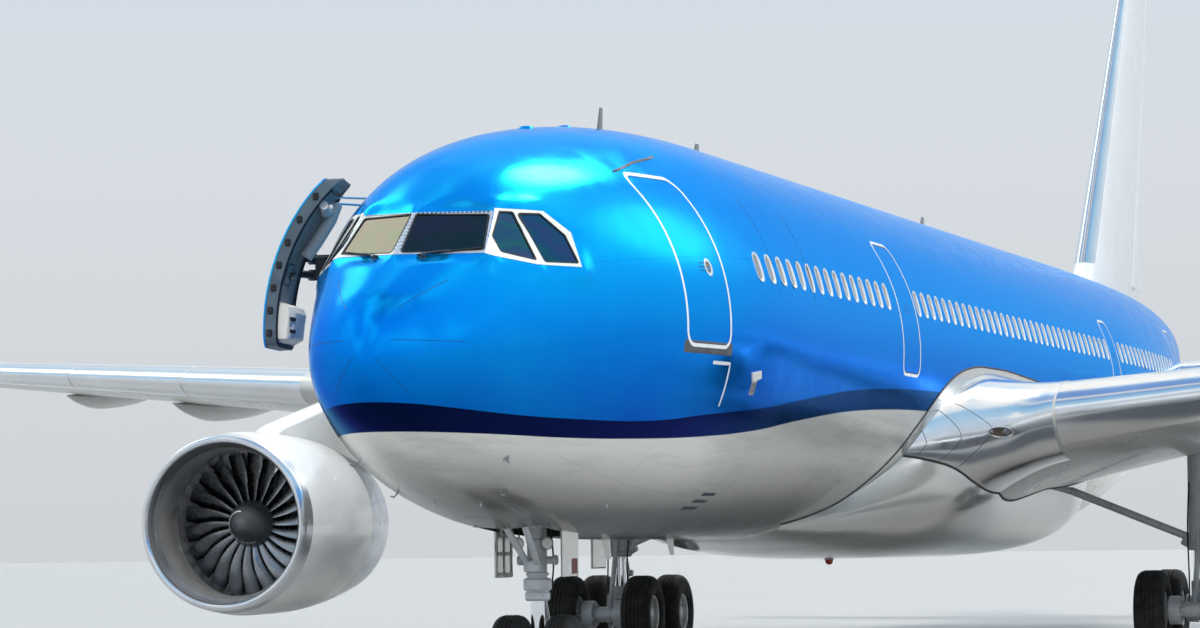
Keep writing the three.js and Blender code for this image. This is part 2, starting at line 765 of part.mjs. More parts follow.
// Belly fairing around the wing's root, and the fuselage and wing cut clear of it
function fairingLoft(grow) {
  return loft(
    FAIRING.map(([station, half, bottom, top]) => {
      const ring = [];
      const steps = 8;
      ring.push(point(0, station, top + 900));
      ring.push(point(half * 0.7, station, top + 700));
      for (let k = 0; k <= steps; k++) {
        const angle = (Math.PI * k) / steps;
        const bulge = Math.cos(angle);
        const side = Math.sign(bulge) * Math.abs(bulge) ** 0.62;
        const down = Math.sin(angle) ** 0.62;
        ring.push(point((half + grow) * side, station, top + (bottom - grow - top) * down));
      }
      ring.push(point(-half * 0.7, station, top + 700));
      return ring;
    }),
  );
}
const cylinderGrown = fuselage(FORWARD_JOINT - 3000, CENTRE_JOINT + 2400, -FIT);
const fairingGrown = fairingLoft(FIT);
wing = wing.subtract(cylinderGrown).subtract(fairingGrown);
const flapRoot = innerFlap.moving.subtract(fairingGrown).subtract(cylinderGrown);
const bellyFairing = fairingLoft(0).subtract(cylinderGrown);

// Fin and rudder, seated on the tail
const finLoft = surface(FIN, true);
const tailGrown = fuselage(44000, TAIL_END, -FIT);
const rudder = control(FIN, RUDDER, { upright: true });
const fin = finLoft.subtract(rudder.cut).subtract(tailGrown);

// Stabiliser in one piece: a tube through the tail joins both halves and is the trim pivot.
const tailPlan = [50000, 51500, 53000, 54200, 55000, 56300, TAIL_END, 59500];
function tailEnvelope() {
  const side = tailPlan.map((station) => {
    const wide = outline(Math.min(station, TAIL_END))[0] + TRIM_GAP;
    return new THREE.Vector2(wide, station);
  });
  const other = side.toReversed().map(({ x, y }) => new THREE.Vector2(-x, y));
  const shape = new THREE.Shape([...side, ...other]);
  const geometry = new THREE.ExtrudeGeometry(shape, { depth: 3000, bevelEnabled: false });
  geometry.translate(0, -LENGTH / 2, AXIS_HEIGHT - 500);
  return solidOf(geometry);
}
const pivotAt = (side) => point(side, TRIM_PIVOT.station, TRIM_PIVOT.height);
const elevator = control(STABILISER, ELEVATOR);
const stabiliserHalf = surface(STABILISER).subtract(elevator.cut).subtract(tailEnvelope());
const stabiliser = stabiliserHalf
  .add(stabiliserHalf.mirror([1, 0, 0]))
  .add(rod(pivotAt(-1300), pivotAt(1300), TRIM_PIVOT.radius, TRIM_PIVOT.sides));
const pivotBore = (TRIM_PIVOT.radius + FIT) / Math.cos(Math.PI / TRIM_PIVOT.sides);
tailCone = tailCone.subtract(rod(pivotAt(-1300), pivotAt(1300), pivotBore, TRIM_PIVOT.sides));

// Engines: nacelle, fan, core with its vanes, and pylon
const enginePoint = point(ENGINE.span, ENGINE.inlet, ENGINE.height);
const nacelle = turned(closed([...NACELLE_OUTSIDE, ...NACELLE_INSIDE]), enginePoint, "aft", NACELLE_SIDES);
const grown = (profile, grow) => profile.map(([distance, radius]) => [distance, radius + grow]);
const nacelleBlank = turned(
  [[0, 0], ...grown(NACELLE_OUTSIDE, 2 * FIT), [NACELLE_OUTSIDE.at(-1)[0], 0]],
  enginePoint,
  "aft",
  NACELLE_SIDES,
);

function fan() {
  const hub = turned(
    [
      [FAN_STATION - 620, 0],
      [FAN_STATION - 480, 140],
      [FAN_STATION, FAN_HUB],
      [FAN_STATION + FAN_BACK, FAN_HUB],
      [FAN_STATION + FAN_BACK, 0],
    ],
    enginePoint,
    "aft",
    FAN_BLADES,
  );
  const blade = (turn) => {
    const corners = [
      [FAN_HUB - 60, 0.7, 150, 22],
      [FAN_RADIUS, 1.25, 175, 12],
    ];
    const rings = corners.map(([radius, pitch, half, thick]) =>
      [
        [-half, 0],
        [half, thick],
        [half, -thick],
      ].map(([along, across]) => {
        const side = along * Math.sin(pitch) + across * Math.cos(pitch);
        const aft = along * Math.cos(pitch) - across * Math.sin(pitch);
        const angle = turn + side / radius;
        const reach = Math.min(radius, FAN_RADIUS);
        return new THREE.Vector3(
          enginePoint.x + reach * Math.sin(angle),
          enginePoint.y + FAN_STATION + 150 + aft,
          enginePoint.z + reach * Math.cos(angle),
        );
      }),
    );
    return loft(rings);
  };
  const turns = Array.from({ length: FAN_BLADES }, (_, k) => (2 * Math.PI * k) / FAN_BLADES);
  return join([hub, ...turns.map(blade)]);
}

const VANE = { from: 1900, to: 2300, thick: 40 };
const vaneReach = NACELLE_INSIDE[2][1] * Math.cos(Math.PI / NACELLE_SIDES) - FIT;
const vanes = Array.from({ length: CORE_VANES }, (_, k) => {
  const geometry = new THREE.BoxGeometry(VANE.thick, VANE.to - VANE.from, vaneReach - 400);
  geometry.translate(0, (VANE.from + VANE.to) / 2, (vaneReach + 400) / 2);
  geometry.rotateY((2 * Math.PI * (k + 0.5)) / CORE_VANES);
  geometry.translate(enginePoint.x, enginePoint.y, enginePoint.z);
  return solidOf(geometry);
});
const core = join([turned(CORE, enginePoint, "aft", CORE_SIDES), ...vanes]);
const coreBlank = turned(
  CORE.map(([distance, radius]) => [distance, radius ? radius + 2 * FIT : 0]),
  enginePoint,
  "aft",
  CORE_SIDES,
);
const pylonBlank = sidePrism(
  PYLON,
  ENGINE.span - PYLON_WIDTH / 2,
  ENGINE.span + PYLON_WIDTH / 2,
);
const pylon = pylonBlank.subtract(nacelleBlank).subtract(coreBlank).subtract(wingGrown);

// Wheels. A pair turns as one: two rims on an axle that passes through its bearing.
function wheelPair(gear, side, station, height) {
  const { tyre, width, track, rim, axle } = gear;
  const outer = track / 2 + width / 2;
  const inner = track / 2 - width / 2;
  const halfProfile = [
    [outer - 0.25 * width, 0],
    [outer - 0.25 * width, 0.35 * rim],
    [outer - 0.4 * width, 0.8 * rim],
    [outer - 0.1 * width, rim - 4],
    [inner + 0.1 * width, rim - 4],
    [inner + 0.3 * width, axle],
  ];
  const mirrored = halfProfile.toReversed().map(([x, r]) => [-x, r]);
  const centre = point(side, station, height);
  const rims = turned([...halfProfile, ...mirrored], centre, "side");
  const tyreAt = (place) =>
    turned(
      closed(TYRE_SHAPE.map(([x, r]) => [place + x * width, rim - 2 + r * (tyre - rim + 2)])),
      centre,
      "side",
    );
  return { rims, tyres: [tyreAt(-track / 2), tyreAt(track / 2)] };
}
const bearingBore = (gear) => (gear.axle + FIT) / Math.cos(Math.PI / WHEEL_SIDES);

// Nose gear: the upper leg is fixed in its bay, the lower leg steers.
const noseAxle = NOSE_GEAR.tyre - AXIS_HEIGHT;
const NOSE_LEG_SPLIT = -3480;
const noseStation = NOSE_GEAR.station;
const onNoseLeg = (height, side = 0, aft = 0) => point(side, noseStation + aft, height);
const noseUpperLeg = join([
  rod(onNoseLeg(NOSE_LEG_SPLIT + FIT), onNoseLeg(NOSE_BAY.roof - 250), 130, 16),
  rod(
    onNoseLeg(NOSE_BAY.roof - 300, -NOSE_BAY.half + FIT),
    onNoseLeg(NOSE_BAY.roof - 300, NOSE_BAY.half - FIT),
    75,
  ),
  rod(onNoseLeg(NOSE_BAY.roof - 420, -150, -1180), onNoseLeg(NOSE_LEG_SPLIT + 260, -60, -60), 45, 8),
  rod(onNoseLeg(NOSE_BAY.roof - 420, 150, -1180), onNoseLeg(NOSE_LEG_SPLIT + 260, 60, -60), 45, 8),
  rod(
    onNoseLeg(NOSE_BAY.roof - 420, -NOSE_BAY.half + FIT, -1180),
    onNoseLeg(NOSE_BAY.roof - 420, NOSE_BAY.half - FIT, -1180),
    50,
    8,
  ),
  rod(onNoseLeg(NOSE_LEG_SPLIT + FIT), onNoseLeg(NOSE_LEG_SPLIT + 170), 185, 16),
  block(0, noseStation - 190, NOSE_LEG_SPLIT + 330, 230, 130, 170),
]);
const TOW_LUG = { wide: 120, reach: 190, high: 110 };
const noseLowerLeg = join([
  rod(onNoseLeg(noseAxle), onNoseLeg(NOSE_LEG_SPLIT), 90, 16),
  rod(onNoseLeg(NOSE_LEG_SPLIT - 130), onNoseLeg(NOSE_LEG_SPLIT), 165, 16),
  rod(onNoseLeg(noseAxle, -110), onNoseLeg(noseAxle, 110), 120, 16),
  rod(onNoseLeg(NOSE_LEG_SPLIT - 90, 0, 130), onNoseLeg(-3850, 0, 330), 45, 8),
  rod(onNoseLeg(-3850, 0, 330), onNoseLeg(noseAxle + 90, 0, 90), 45, 8),
  block(0, noseStation - TOW_LUG.reach / 2, noseAxle, TOW_LUG.wide, TOW_LUG.reach, TOW_LUG.high),
]).subtract(
  rod(onNoseLeg(noseAxle, -200), onNoseLeg(noseAxle, 200), bearingBore(NOSE_GEAR), WHEEL_SIDES),
);
const noseWheels = wheelPair(NOSE_GEAR, 0, noseStation, noseAxle);

// The small doors that stay down beside the nose leg
const NOSE_DOOR = { long: 700, deep: 620, thick: 40 };
const noseDoor = block(
  NOSE_BAY.half + NOSE_DOOR.thick / 2 + FIT,
  NOSE_BAY.rear - NOSE_DOOR.long / 2 - 60,
  outline(noseStation)[2] - NOSE_DOOR.deep / 2 + 80,
  NOSE_DOOR.thick,
  NOSE_DOOR.long,
  NOSE_DOOR.deep,
).subtract(fuselage(NOSE_BAY.front, NOSE_JOINT, -FIT));

// Main gear: leg, side stay and leg door, standing on a bogie beam with four wheels
const mainAxle = MAIN_GEAR.tyre - AXIS_HEIGHT;
const { station: mainStation, span: mainSpan } = MAIN_GEAR;
const onMainLeg = (height, side = 0, aft = 0) => point(mainSpan + side, mainStation + aft, height);
const BEAM = { half: 115, up: 260 };
const beamTop = mainAxle + BEAM.up / 2;
const MAIN_LEG_TOP = -1200;
const mainBeam = join([
  block(mainSpan, mainStation, mainAxle, 2 * BEAM.half, BOGIE_SPACING + 300, BEAM.up),
  rod(onMainLeg(beamTop - 20), onMainLeg(beamTop + 120), 150, 16),
]);
const axleBore = (sign) =>
  rod(
    onMainLeg(mainAxle, -300, (sign * BOGIE_SPACING) / 2),
    onMainLeg(mainAxle, 300, (sign * BOGIE_SPACING) / 2),
    bearingBore(MAIN_GEAR),
    WHEEL_SIDES,
  );
const bogieBeam = mainBeam.subtract(axleBore(-1)).subtract(axleBore(1));
const legFoot = beamTop + 120 + FIT;
const LEG_DOOR = { thick: 45, along: 900, out: 420 };
const mainLeg = join([
  rod(onMainLeg(MAIN_LEG_TOP), onMainLeg(-3050), 200, 16),
  rod(onMainLeg(-3000), onMainLeg(legFoot), 130, 16),
  rod(onMainLeg(legFoot + 260), onMainLeg(legFoot), 170, 16),
  rod(onMainLeg(-2950), onMainLeg(-1950, -2450), 70, 8),
  rod(onMainLeg(-2900, 0, 190), onMainLeg(-3400, 0, 480), 50, 8),
  rod(onMainLeg(-3400, 0, 480), onMainLeg(legFoot + 120, 0, 120), 50, 8),
  block(mainSpan + LEG_DOOR.out, mainStation, -2560, LEG_DOOR.thick, LEG_DOOR.along, 1500),
  block(mainSpan + LEG_DOOR.out / 2, mainStation, -2600, LEG_DOOR.out, 110, 110),
])
  .subtract(fairingGrown)
  .subtract(
    wingGrown.subtract(rod(onMainLeg(MAIN_LEG_TOP), onMainLeg(-3050), 205, 16)),
  );
wing = wing.subtract(
  rod(onMainLeg(MAIN_LEG_TOP + FIT), onMainLeg(-3050), (200 + FIT) / Math.cos(Math.PI / 16), 16),
);
const mainWheels = [-1, 1].map((sign) =>
  wheelPair(MAIN_GEAR, mainSpan, mainStation + (sign * BOGIE_SPACING) / 2, mainAxle),
);

// The whole aircraft
add("radome", radome, BLUE);
add("nose_section", noseSection, BLUE);
add("forward_fuselage", forwardFuselage, BLUE);
add("centre_fuselage", centreFuselage, BLUE);
add("rear_fuselage", rearFuselage, BLUE);
add("tail_cone", tailCone, BLUE);
add("cockpit_windows", cockpitWindows, GLASS);
add("passenger_door_1_left", closedDoor, BLUE);
add("passenger_door_1_right", openDoor, BLUE);
add("forward_cargo_door", forwardCargo.door, BLUE);
add("aft_cargo_door", aftCargo.door, BLUE);
add("belly_fairing", bellyFairing, WHITE);
addPair("wing", wing, WING_GREY);
addPair("inner_flap", flapRoot, WING_GREY);
addPair("outer_flap", outerFlap.moving, WING_GREY);
addPair("aileron", aileron.moving, WING_GREY);
addPair("spoilers", spoiler.moving, WING_GREY);
addPair("engine_nacelle", nacelle, WHITE);
addPair("engine_fan", fan(), DARK_METAL);
addPair("engine_core", core, BARE_METAL);
addPair("engine_pylon", pylon, WHITE);
add("fin", fin, WHITE);
add("rudder", rudder.moving, WHITE);
add("horizontal_stabiliser", stabiliser, WHITE);
addPair("elevator", elevator.moving, WHITE);
add("nose_gear_leg", noseUpperLeg, GEAR_WHITE);
add("nose_gear_lower_leg", noseLowerLeg, GEAR_WHITE);
addPair("nose_gear_door", noseDoor, WHITE);
add("nose_wheels", noseWheels.rims, BARE_METAL);
noseWheels.tyres.forEach((tyre, i) => add(`nose_tyre_${["right", "left"][i]}`, tyre, RUBBER));
addPair("main_gear_leg", mainLeg, GEAR_WHITE);
addPair("bogie_beam", bogieBeam, GEAR_WHITE);
["front", "rear"].forEach((place, i) => {
  addPair(`main_wheels_${place}`, mainWheels[i].rims, BARE_METAL);
  addPair(`main_tyre_${place}_inner`, mainWheels[i].tyres[0], RUBBER);
  addPair(`main_tyre_${place}_outer`, mainWheels[i].tyres[1], RUBBER);
});

root.scale.setScalar(MODEL_SCALE);

export default root;
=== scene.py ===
"""The looks of a wide-body airliner, parked on its gear, around its packed half-size model.

Shapes are worked out in real metres as (side, station, height): the distance to port of the middle,
the distance aft of the tip of the nose, and the height above the fuselage's centre line. TO_FRAME
takes them to the model's own frame.
"""

import json
import math

import bpy
import numpy as np
from mathutils import Matrix, Vector
from mathutils.bvhtree import BVHTree

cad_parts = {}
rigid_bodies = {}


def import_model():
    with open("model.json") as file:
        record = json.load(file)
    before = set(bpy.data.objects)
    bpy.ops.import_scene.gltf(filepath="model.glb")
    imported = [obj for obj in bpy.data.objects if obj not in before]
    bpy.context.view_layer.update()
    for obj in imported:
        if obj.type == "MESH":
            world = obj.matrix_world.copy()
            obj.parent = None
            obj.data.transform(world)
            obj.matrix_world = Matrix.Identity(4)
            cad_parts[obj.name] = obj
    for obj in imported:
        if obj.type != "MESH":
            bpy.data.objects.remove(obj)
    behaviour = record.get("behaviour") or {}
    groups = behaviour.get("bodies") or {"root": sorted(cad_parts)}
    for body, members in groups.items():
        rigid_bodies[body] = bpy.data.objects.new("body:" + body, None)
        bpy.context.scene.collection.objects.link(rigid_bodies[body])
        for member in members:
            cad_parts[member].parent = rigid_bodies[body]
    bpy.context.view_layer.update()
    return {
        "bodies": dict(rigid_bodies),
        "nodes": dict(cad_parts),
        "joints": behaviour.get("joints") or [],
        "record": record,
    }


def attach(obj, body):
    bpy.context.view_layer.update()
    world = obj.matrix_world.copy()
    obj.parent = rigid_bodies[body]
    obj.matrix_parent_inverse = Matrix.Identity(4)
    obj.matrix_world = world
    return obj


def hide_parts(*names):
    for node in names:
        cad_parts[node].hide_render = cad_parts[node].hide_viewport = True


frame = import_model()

SCALE = 0.5
LENGTH = 58.82
AXIS_HEIGHT = 4.84
RADIUS = 2.82
TO_FRAME = Matrix.Scale(SCALE, 4) @ Matrix.Translation((0, -LENGTH / 2, AXIS_HEIGHT))

# Fuselage outline. Columns: station, half width, top, bottom, height of the widest line
NOSE = [
    (0, 0, -0.79, -0.79, -0.79),
    (0.12, 0.32, -0.31, -1.09, -0.76),
    (0.5, 0.74, 0.13, -1.46, -0.7),
    (1.1, 1.07, 0.53, -1.75, -0.61),
    (2, 1.4, 1.17, -2.06, -0.49),
    (3, 1.74, 1.75, -2.32, -0.36),
    (4.2, 2.1, 2.15, -2.53, -0.22),
    (5.8, 2.49, 2.47, -2.71, -0.12),
    (8, 2.77, 2.71, -2.8, -0.03),
    (11.5, RADIUS, RADIUS, -RADIUS, 0),
]
TAIL = [
    (36.5, RADIUS, RADIUS, -RADIUS, 0),
    (40, 2.74, RADIUS, -2.55, 0.13),
    (44, 2.5, 2.8, -1.85, 0.47),
    (48, 2.08, 2.74, -0.9, 0.92),
    (52, 1.48, 2.58, 0.02, 1.3),
    (55, 0.95, 2.35, 0.6, 1.475),
    (57.6, 0.36, 2, 1.15, 1.575),
]
NOSE_TIP, TAIL_END = 0.0002, 57.6
# Sections of the fuselage, from station to station
JOINTS = {
    "radome": (NOSE_TIP, 1.05),
    "nose_section": (1.05, 8),
    "forward_fuselage": (8, 17.5),
    "centre_fuselage": (17.5, 34),
    "rear_fuselage": (34, 45.5),
    "tail_cone": (45.5, TAIL_END),
}
AROUND = 160
NOSE_STEPS, BODY_STEP, TAIL_STEP = 130, 0.5, 0.35
RING_MARGIN = 0.03

# Doors, seen from the side: front, rear, bottom, top
DOOR_1 = (5.49, 6.69, -0.335, 1.8)
DOOR_CORNER = 0.15
OTHER_DOORS = [(16.3, 17.4, -0.335, 1.6), (35.1, 35.9, -0.3, 1.3), (45.7, 46.8, -0.3, 1.6)]
OPEN_FORWARD = 1.34
OPEN_OUTWARD = 0.4
CARGO_DOORS = {"forward_cargo_door": 11.3, "aft_cargo_door": 38.0}
CARGO_WIDTH, CARGO_BOTTOM, CARGO_TOP = 2.7, -2.08, -0.4
CARGO_SLOT = 0.085

WINDOW_HEIGHT = 0.76
WINDOW_PITCH = 0.533
FIRST_WINDOW, LAST_WINDOW = 8.12, 48.5


# Shapes: each function gives points and faces in real metres

def loft(rings, caps=True):
    """A skin through rings of points that run the same way round."""
    rings = np.asarray(rings, float)
    count, n = rings.shape[:2]
    faces = []
    for r in range(count - 1):
        for k in range(n):
            a, b = r * n + k, r * n + (k + 1) % n
            faces.append((a, b, b + n, a + n))
    if caps:
        faces.append(tuple(reversed(range(n))))
        faces.append(tuple(range((count - 1) * n, count * n)))
    return rings.reshape(-1, 3), faces


def moved(shape, matrix):
    points, faces = shape
    matrix = np.array(matrix)
    return np.asarray(points) @ matrix[:3, :3].T + matrix[:3, 3], faces


def frame_along(start, end):
    """A matrix at start whose Z axis points to end."""
    way = (Vector(end) - Vector(start)).normalized()
    turn = Vector((0, 0, 1)).rotation_difference(way)
    return Matrix.Translation(start) @ turn.to_matrix().to_4x4()


def full_turn(count):
    """Equal steps of angle around a circle."""
    return np.linspace(0, 2 * math.pi, count, endpoint=False)


def circle(radius, sides, height=0.0):
    turn = full_turn(sides)
    return np.stack([radius * np.cos(turn), radius * np.sin(turn), np.full(sides, height)], 1)


def turned(profile, start, end, sides=48):
    """A body of revolution about the line from start to end: (distance, radius) pairs."""
    small = 1e-4
    rings = [circle(max(radius, small), sides, distance) for distance, radius in profile]
    return moved(loft(rings), frame_along(start, end))


def ring_turned(profile, start, end, sides=64):
    """A hollow body of revolution from a closed outline of (distance, radius) pairs."""
    rings = [circle(radius, sides, distance) for distance, radius in [*profile, profile[0]]]
    return moved(loft(rings, caps=False), frame_along(start, end))


ROD_EDGE = 0.15


def rod(start, end, radius, sides=20, end_radius=None):
    """A round bar with small bevels at its ends."""
    length = (Vector(end) - Vector(start)).length
    last = radius if end_radius is None else end_radius
    cut = min(ROD_EDGE * min(radius, last), length / 4)
    profile = [(0, radius - cut), (cut, radius), (length - cut, last), (length, last - cut)]
    return turned(profile, start, end, sides)


LARGEST_BEVEL = 0.9


def box(centre, size, bevel=0.0):
    """A box with chamfered edges, from its middle and its full sizes."""
    x, y, z = (s / 2 for s in size)
    b = min(bevel, x * LARGEST_BEVEL, y * LARGEST_BEVEL, z * LARGEST_BEVEL)

    def ring(inset, height):
        a, c = x - inset, y - inset
        return [
            (a - b, -c, height), (a, -c + b, height), (a, c - b, height), (a - b, c, height),
            (-a + b, c, height), (-a, c - b, height), (-a, -c + b, height), (-a + b, -c, height),
        ]

    rings = [ring(b, -z), ring(0, -z + b), ring(0, z - b), ring(b, z)] if b else [
        [(x, -y, h), (x, y, h), (-x, y, h), (-x, -y, h)] for h in (-z, z)
    ]
    points, faces = loft(rings)
    return np.asarray(points) + np.array(centre), faces


def sweep(path, radius, sides=10):
    """A round tube along a line of points."""
    path = [Vector(p) for p in path]
    rings = []
    up = Vector((0.1, 0.2, 1)).normalized()
    for i, p in enumerate(path):
        way = (path[min(i + 1, len(path) - 1)] - path[max(i - 1, 0)]).normalized()
        across = way.cross(up).normalized()
        over = across.cross(way)
        turn = full_turn(sides)
        rings.append([p + radius * (math.cos(t) * across + math.sin(t) * over) for t in turn])
    return loft(rings)


def joined(shapes):
    points, faces, offset = [], [], 0
    for shape_points, shape_faces in map(oriented, shapes):
        points.append(np.asarray(shape_points, float))
        faces.extend(tuple(i + offset for i in face) for face in shape_faces)
        offset += len(shape_points)
    return np.concatenate(points), faces


def mirrored(shape):
    points, faces = shape
    return np.asarray(points) * (-1, 1, 1), [tuple(reversed(face)) for face in faces]


def oriented(shape):
    """The same shape with its faces turned outward."""
    points, faces = shape
    points = np.asarray(points, float)
    middle = points.mean(0)
    volume = 0.0
    for size in {len(face) for face in faces}:
        corners = points[np.array([face for face in faces if len(face) == size])] - middle
        for k in range(1, size - 1):
            volume += (corners[:, 0] * np.cross(corners[:, k], corners[:, k + 1])).sum()
    return (points, faces) if volume >= 0 else (points, [tuple(reversed(face)) for face in faces])


SMOOTH_ANGLE = math.radians(32)


def shade(mesh):
    mesh.polygons.foreach_set("use_smooth", [True] * len(mesh.polygons))
    mesh.set_sharp_from_angle(angle=SMOOTH_ANGLE)


def grown(corners, distance):
    """A flat polygon with each side moved outward; one distance, or one for each side."""
    corners = np.asarray(corners, float)
    following = np.roll(corners, -1, axis=0)
    area = (corners[:, 0] * following[:, 1] - corners[:, 1] * following[:, 0]).sum()
    way = following - corners
    way /= np.linalg.norm(way, axis=1)[:, None]
    out = np.stack([way[:, 1], -way[:, 0]], 1) * math.copysign(1, area)
    start = corners + out * np.broadcast_to(distance, len(corners))[:, None]
    result = []
    for i in range(len(corners)):
        (px, py), (ux, uy) = start[i - 1], way[i - 1]
        (qx, qy), (vx, vy) = start[i], way[i]
        t = ((qx - px) * vy - (qy - py) * vx) / (ux * vy - uy * vx)
        result.append((px + t * ux, py + t * uy))
    return np.array(result)


def softened(corners, radius):
    """A flat polygon with round corners."""
    points, steps = [], 5
    for i, here in enumerate(corners):
        before, after = corners[i - 1] - here, corners[(i + 1) % len(corners)] - here
        lengths = np.linalg.norm(before), np.linalg.norm(after)
        half = math.acos(np.clip(before @ after / (lengths[0] * lengths[1]), -1, 1)) / 2
        reach = min(radius / math.tan(half), 0.45 * lengths[0], 0.45 * lengths[1])
        start, end = here + before / lengths[0] * reach, here + after / lengths[1] * reach
        for t in np.linspace(0, 1, steps + 1):
            points.append((1 - t) ** 2 * start + 2 * t * (1 - t) * here + t * t * end)
    return np.array(points)


def mesh_of(name, shape):
    """A mesh in the model's frame from a shape in real metres."""
    points, faces = oriented(shape)
    mesh = bpy.data.meshes.new(name)
    mesh.from_pydata([tuple(p) for p in points], [], faces)
    mesh.transform(TO_FRAME)
    return mesh


def linked(name, data):
    obj = bpy.data.objects.new(name, data)
    bpy.context.scene.collection.objects.link(obj)
    return obj


def piece(name, mesh, body, replaces, slot):
    """A piece of the aircraft that rides on a body, and may stand in for nodes of the solids."""
    obj = linked(name, mesh)
    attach(obj, body)
    if replaces:
        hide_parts(*replaces)
    return obj


def make(name, shape, material, body="airframe", replaces=(), slot=None):
    """A piece of the aircraft from a shape in real metres."""
    mesh = mesh_of(name, shape)
    mesh.validate()
    shade(mesh)
    mesh.materials.append(material)
    return piece(name, mesh, body, replaces, slot)


def make_pair(name, shape, material, body="airframe", replaces=(), slot=None):
    """The same piece on the port side and mirrored on the starboard side."""
    for side, form in (("left", shape), ("right", mirrored(shape))):
        make(
            f"{name}_{side}", form, material,
            body if body in frame["bodies"] else f"{body}_{side}",
            [f"{node}_{side}" for node in replaces], slot,
        )


def twin(obj, name, body="airframe", replaces=(), slot=None):
    """The mirror image of a finished piece on the other side."""
    mesh = obj.data.copy()
    mesh.transform(Matrix.Scale(-1, 4, (1, 0, 0)))
    mesh.flip_normals()
    return piece(name, mesh, body, replaces, slot)


def carved(obj, cutter, operation="DIFFERENCE"):
    """Cuts the mesh of a piece with a closed shape in real metres."""
    tool = linked("cutter", mesh_of("cutter", cutter))
    modifier = obj.modifiers.new("cut", "BOOLEAN")
    modifier.object = tool
    modifier.operation = operation
    modifier.solver = "EXACT"
    graph = bpy.context.evaluated_depsgraph_get()
    result = bpy.data.meshes.new_from_object(obj.evaluated_get(graph))
    obj.modifiers.clear()
    obj.data = result
    bpy.data.objects.remove(tool)
    return obj


# Materials

# The values that most of a noise lies between
NOISE_RANGE = (0.3, 0.7)


class Nodes:
    """A node tree, and short ways to add nodes to it."""

    def __init__(self, tree):
        self.tree = tree

    def feed(self, socket, value):
        if isinstance(value, bpy.types.NodeSocket):
            self.tree.links.new(value, socket)
        else:
            socket.default_value = value

    def add(self, kind, links=None, **settings):
        node = self.tree.nodes.new(kind)
        for key, value in settings.items():
            setattr(node, key, value)
        for key, value in (links or {}).items():
            self.feed(node.inputs[key], value)
        return node

    def math(self, operation, a, b=0.0, clamp=False):
        node = self.add("ShaderNodeMath", {0: a, 1: b}, operation=operation, use_clamp=clamp)
        return node.outputs[0]

    def ramp(self, fac, stops):
        node = self.add("ShaderNodeValToRGB", {"Fac": fac})
        elements = node.color_ramp.elements
        while len(elements) < len(stops):
            elements.new(0.5)
        for element, (place, color) in zip(elements, stops):
            element.position = place
            element.color = (*color, 1)
        return node.outputs["Color"]

    def span(self, value, low, high, to_low=0.0, to_high=1.0):
        links = {"Value": value, "From Min": low, "From Max": high, "To Min": to_low, "To Max": to_high}
        return self.add("ShaderNodeMapRange", links).outputs["Result"]

    def mix(self, fac, a, b):
        node = self.add("ShaderNodeMix", data_type="RGBA")
        for index, value in ((0, fac), (6, a), (7, b)):
            self.feed(node.inputs[index], (*value, 1) if isinstance(value, tuple) else value)
        return node.outputs[2]

    def cloud(self, where, scale, detail, roughness):
        links = {"Vector": where, "Scale": scale, "Detail": detail, "Roughness": roughness}
        return self.add("ShaderNodeTexNoise", links).outputs["Fac"]


class Graph(Nodes):
    """A material with a Principled shader."""

    def __init__(self, name, **settings):
        self.material = bpy.data.materials.new(name)
        self.material.use_nodes = True
        super().__init__(self.material.node_tree)
        self.shader = self.tree.nodes["Principled BSDF"]
        for key, value in settings.items():
            self.set(key.replace("_", " "), value)
        self.where = self.add("ShaderNodeTexCoord").outputs["Object"]

    def set(self, name, value):
        self.feed(self.shader.inputs[name], value)

    def noise(self, scale, detail=4.0, roughness=0.55, stretch=(1, 1, 1)):
        place = self.add("ShaderNodeMapping", {"Vector": self.where, "Scale": stretch}).outputs[0]
        return self.cloud(place, scale, detail, roughness)

    def gloss(self, scale, low, high, detail=6):
        """A roughness that wanders between two values."""
        self.set("Roughness", self.span(self.noise(scale, detail), *NOISE_RANGE, low, high))

    def bump(self, height, strength=0.3, distance=0.002):
        links = {"Height": height, "Strength": strength, "Distance": distance}
        self.set("Normal", self.add("ShaderNodeBump", links).outputs["Normal"])


def finish(name, color, rough=0.4, metal=0.0, vary=0.12, grain=6.0, bump=0.0, wear=None, **more):
    """A painted, metal or rubber finish: its tone and gloss wander, and it has a fine grain."""
    g = Graph(name, Metallic=metal, **more)
    cloud = g.noise(grain, 5)
    darker = tuple(c * (1 - vary) for c in color)
    lighter = tuple(min(1, c * (1 + vary)) for c in color)
    tone = g.ramp(cloud, [(0.3, darker), (0.7, lighter)])
    if wear:
        patch = g.span(g.noise(grain * 3.1, 8, 0.7), 0.55, 0.72)
        tone = g.mix(patch, tone, wear)
    g.set("Base Color", tone)
    g.gloss(grain * 2.3, rough * 0.8, rough * 1.25)
    if bump:
        g.bump(g.noise(grain * 40, 3), bump, 0.001)
    return g.material


def station_y(station):
    return (station - LENGTH / 2) * SCALE


def height_z(height):
    return (height + AXIS_HEIGHT) * SCALE


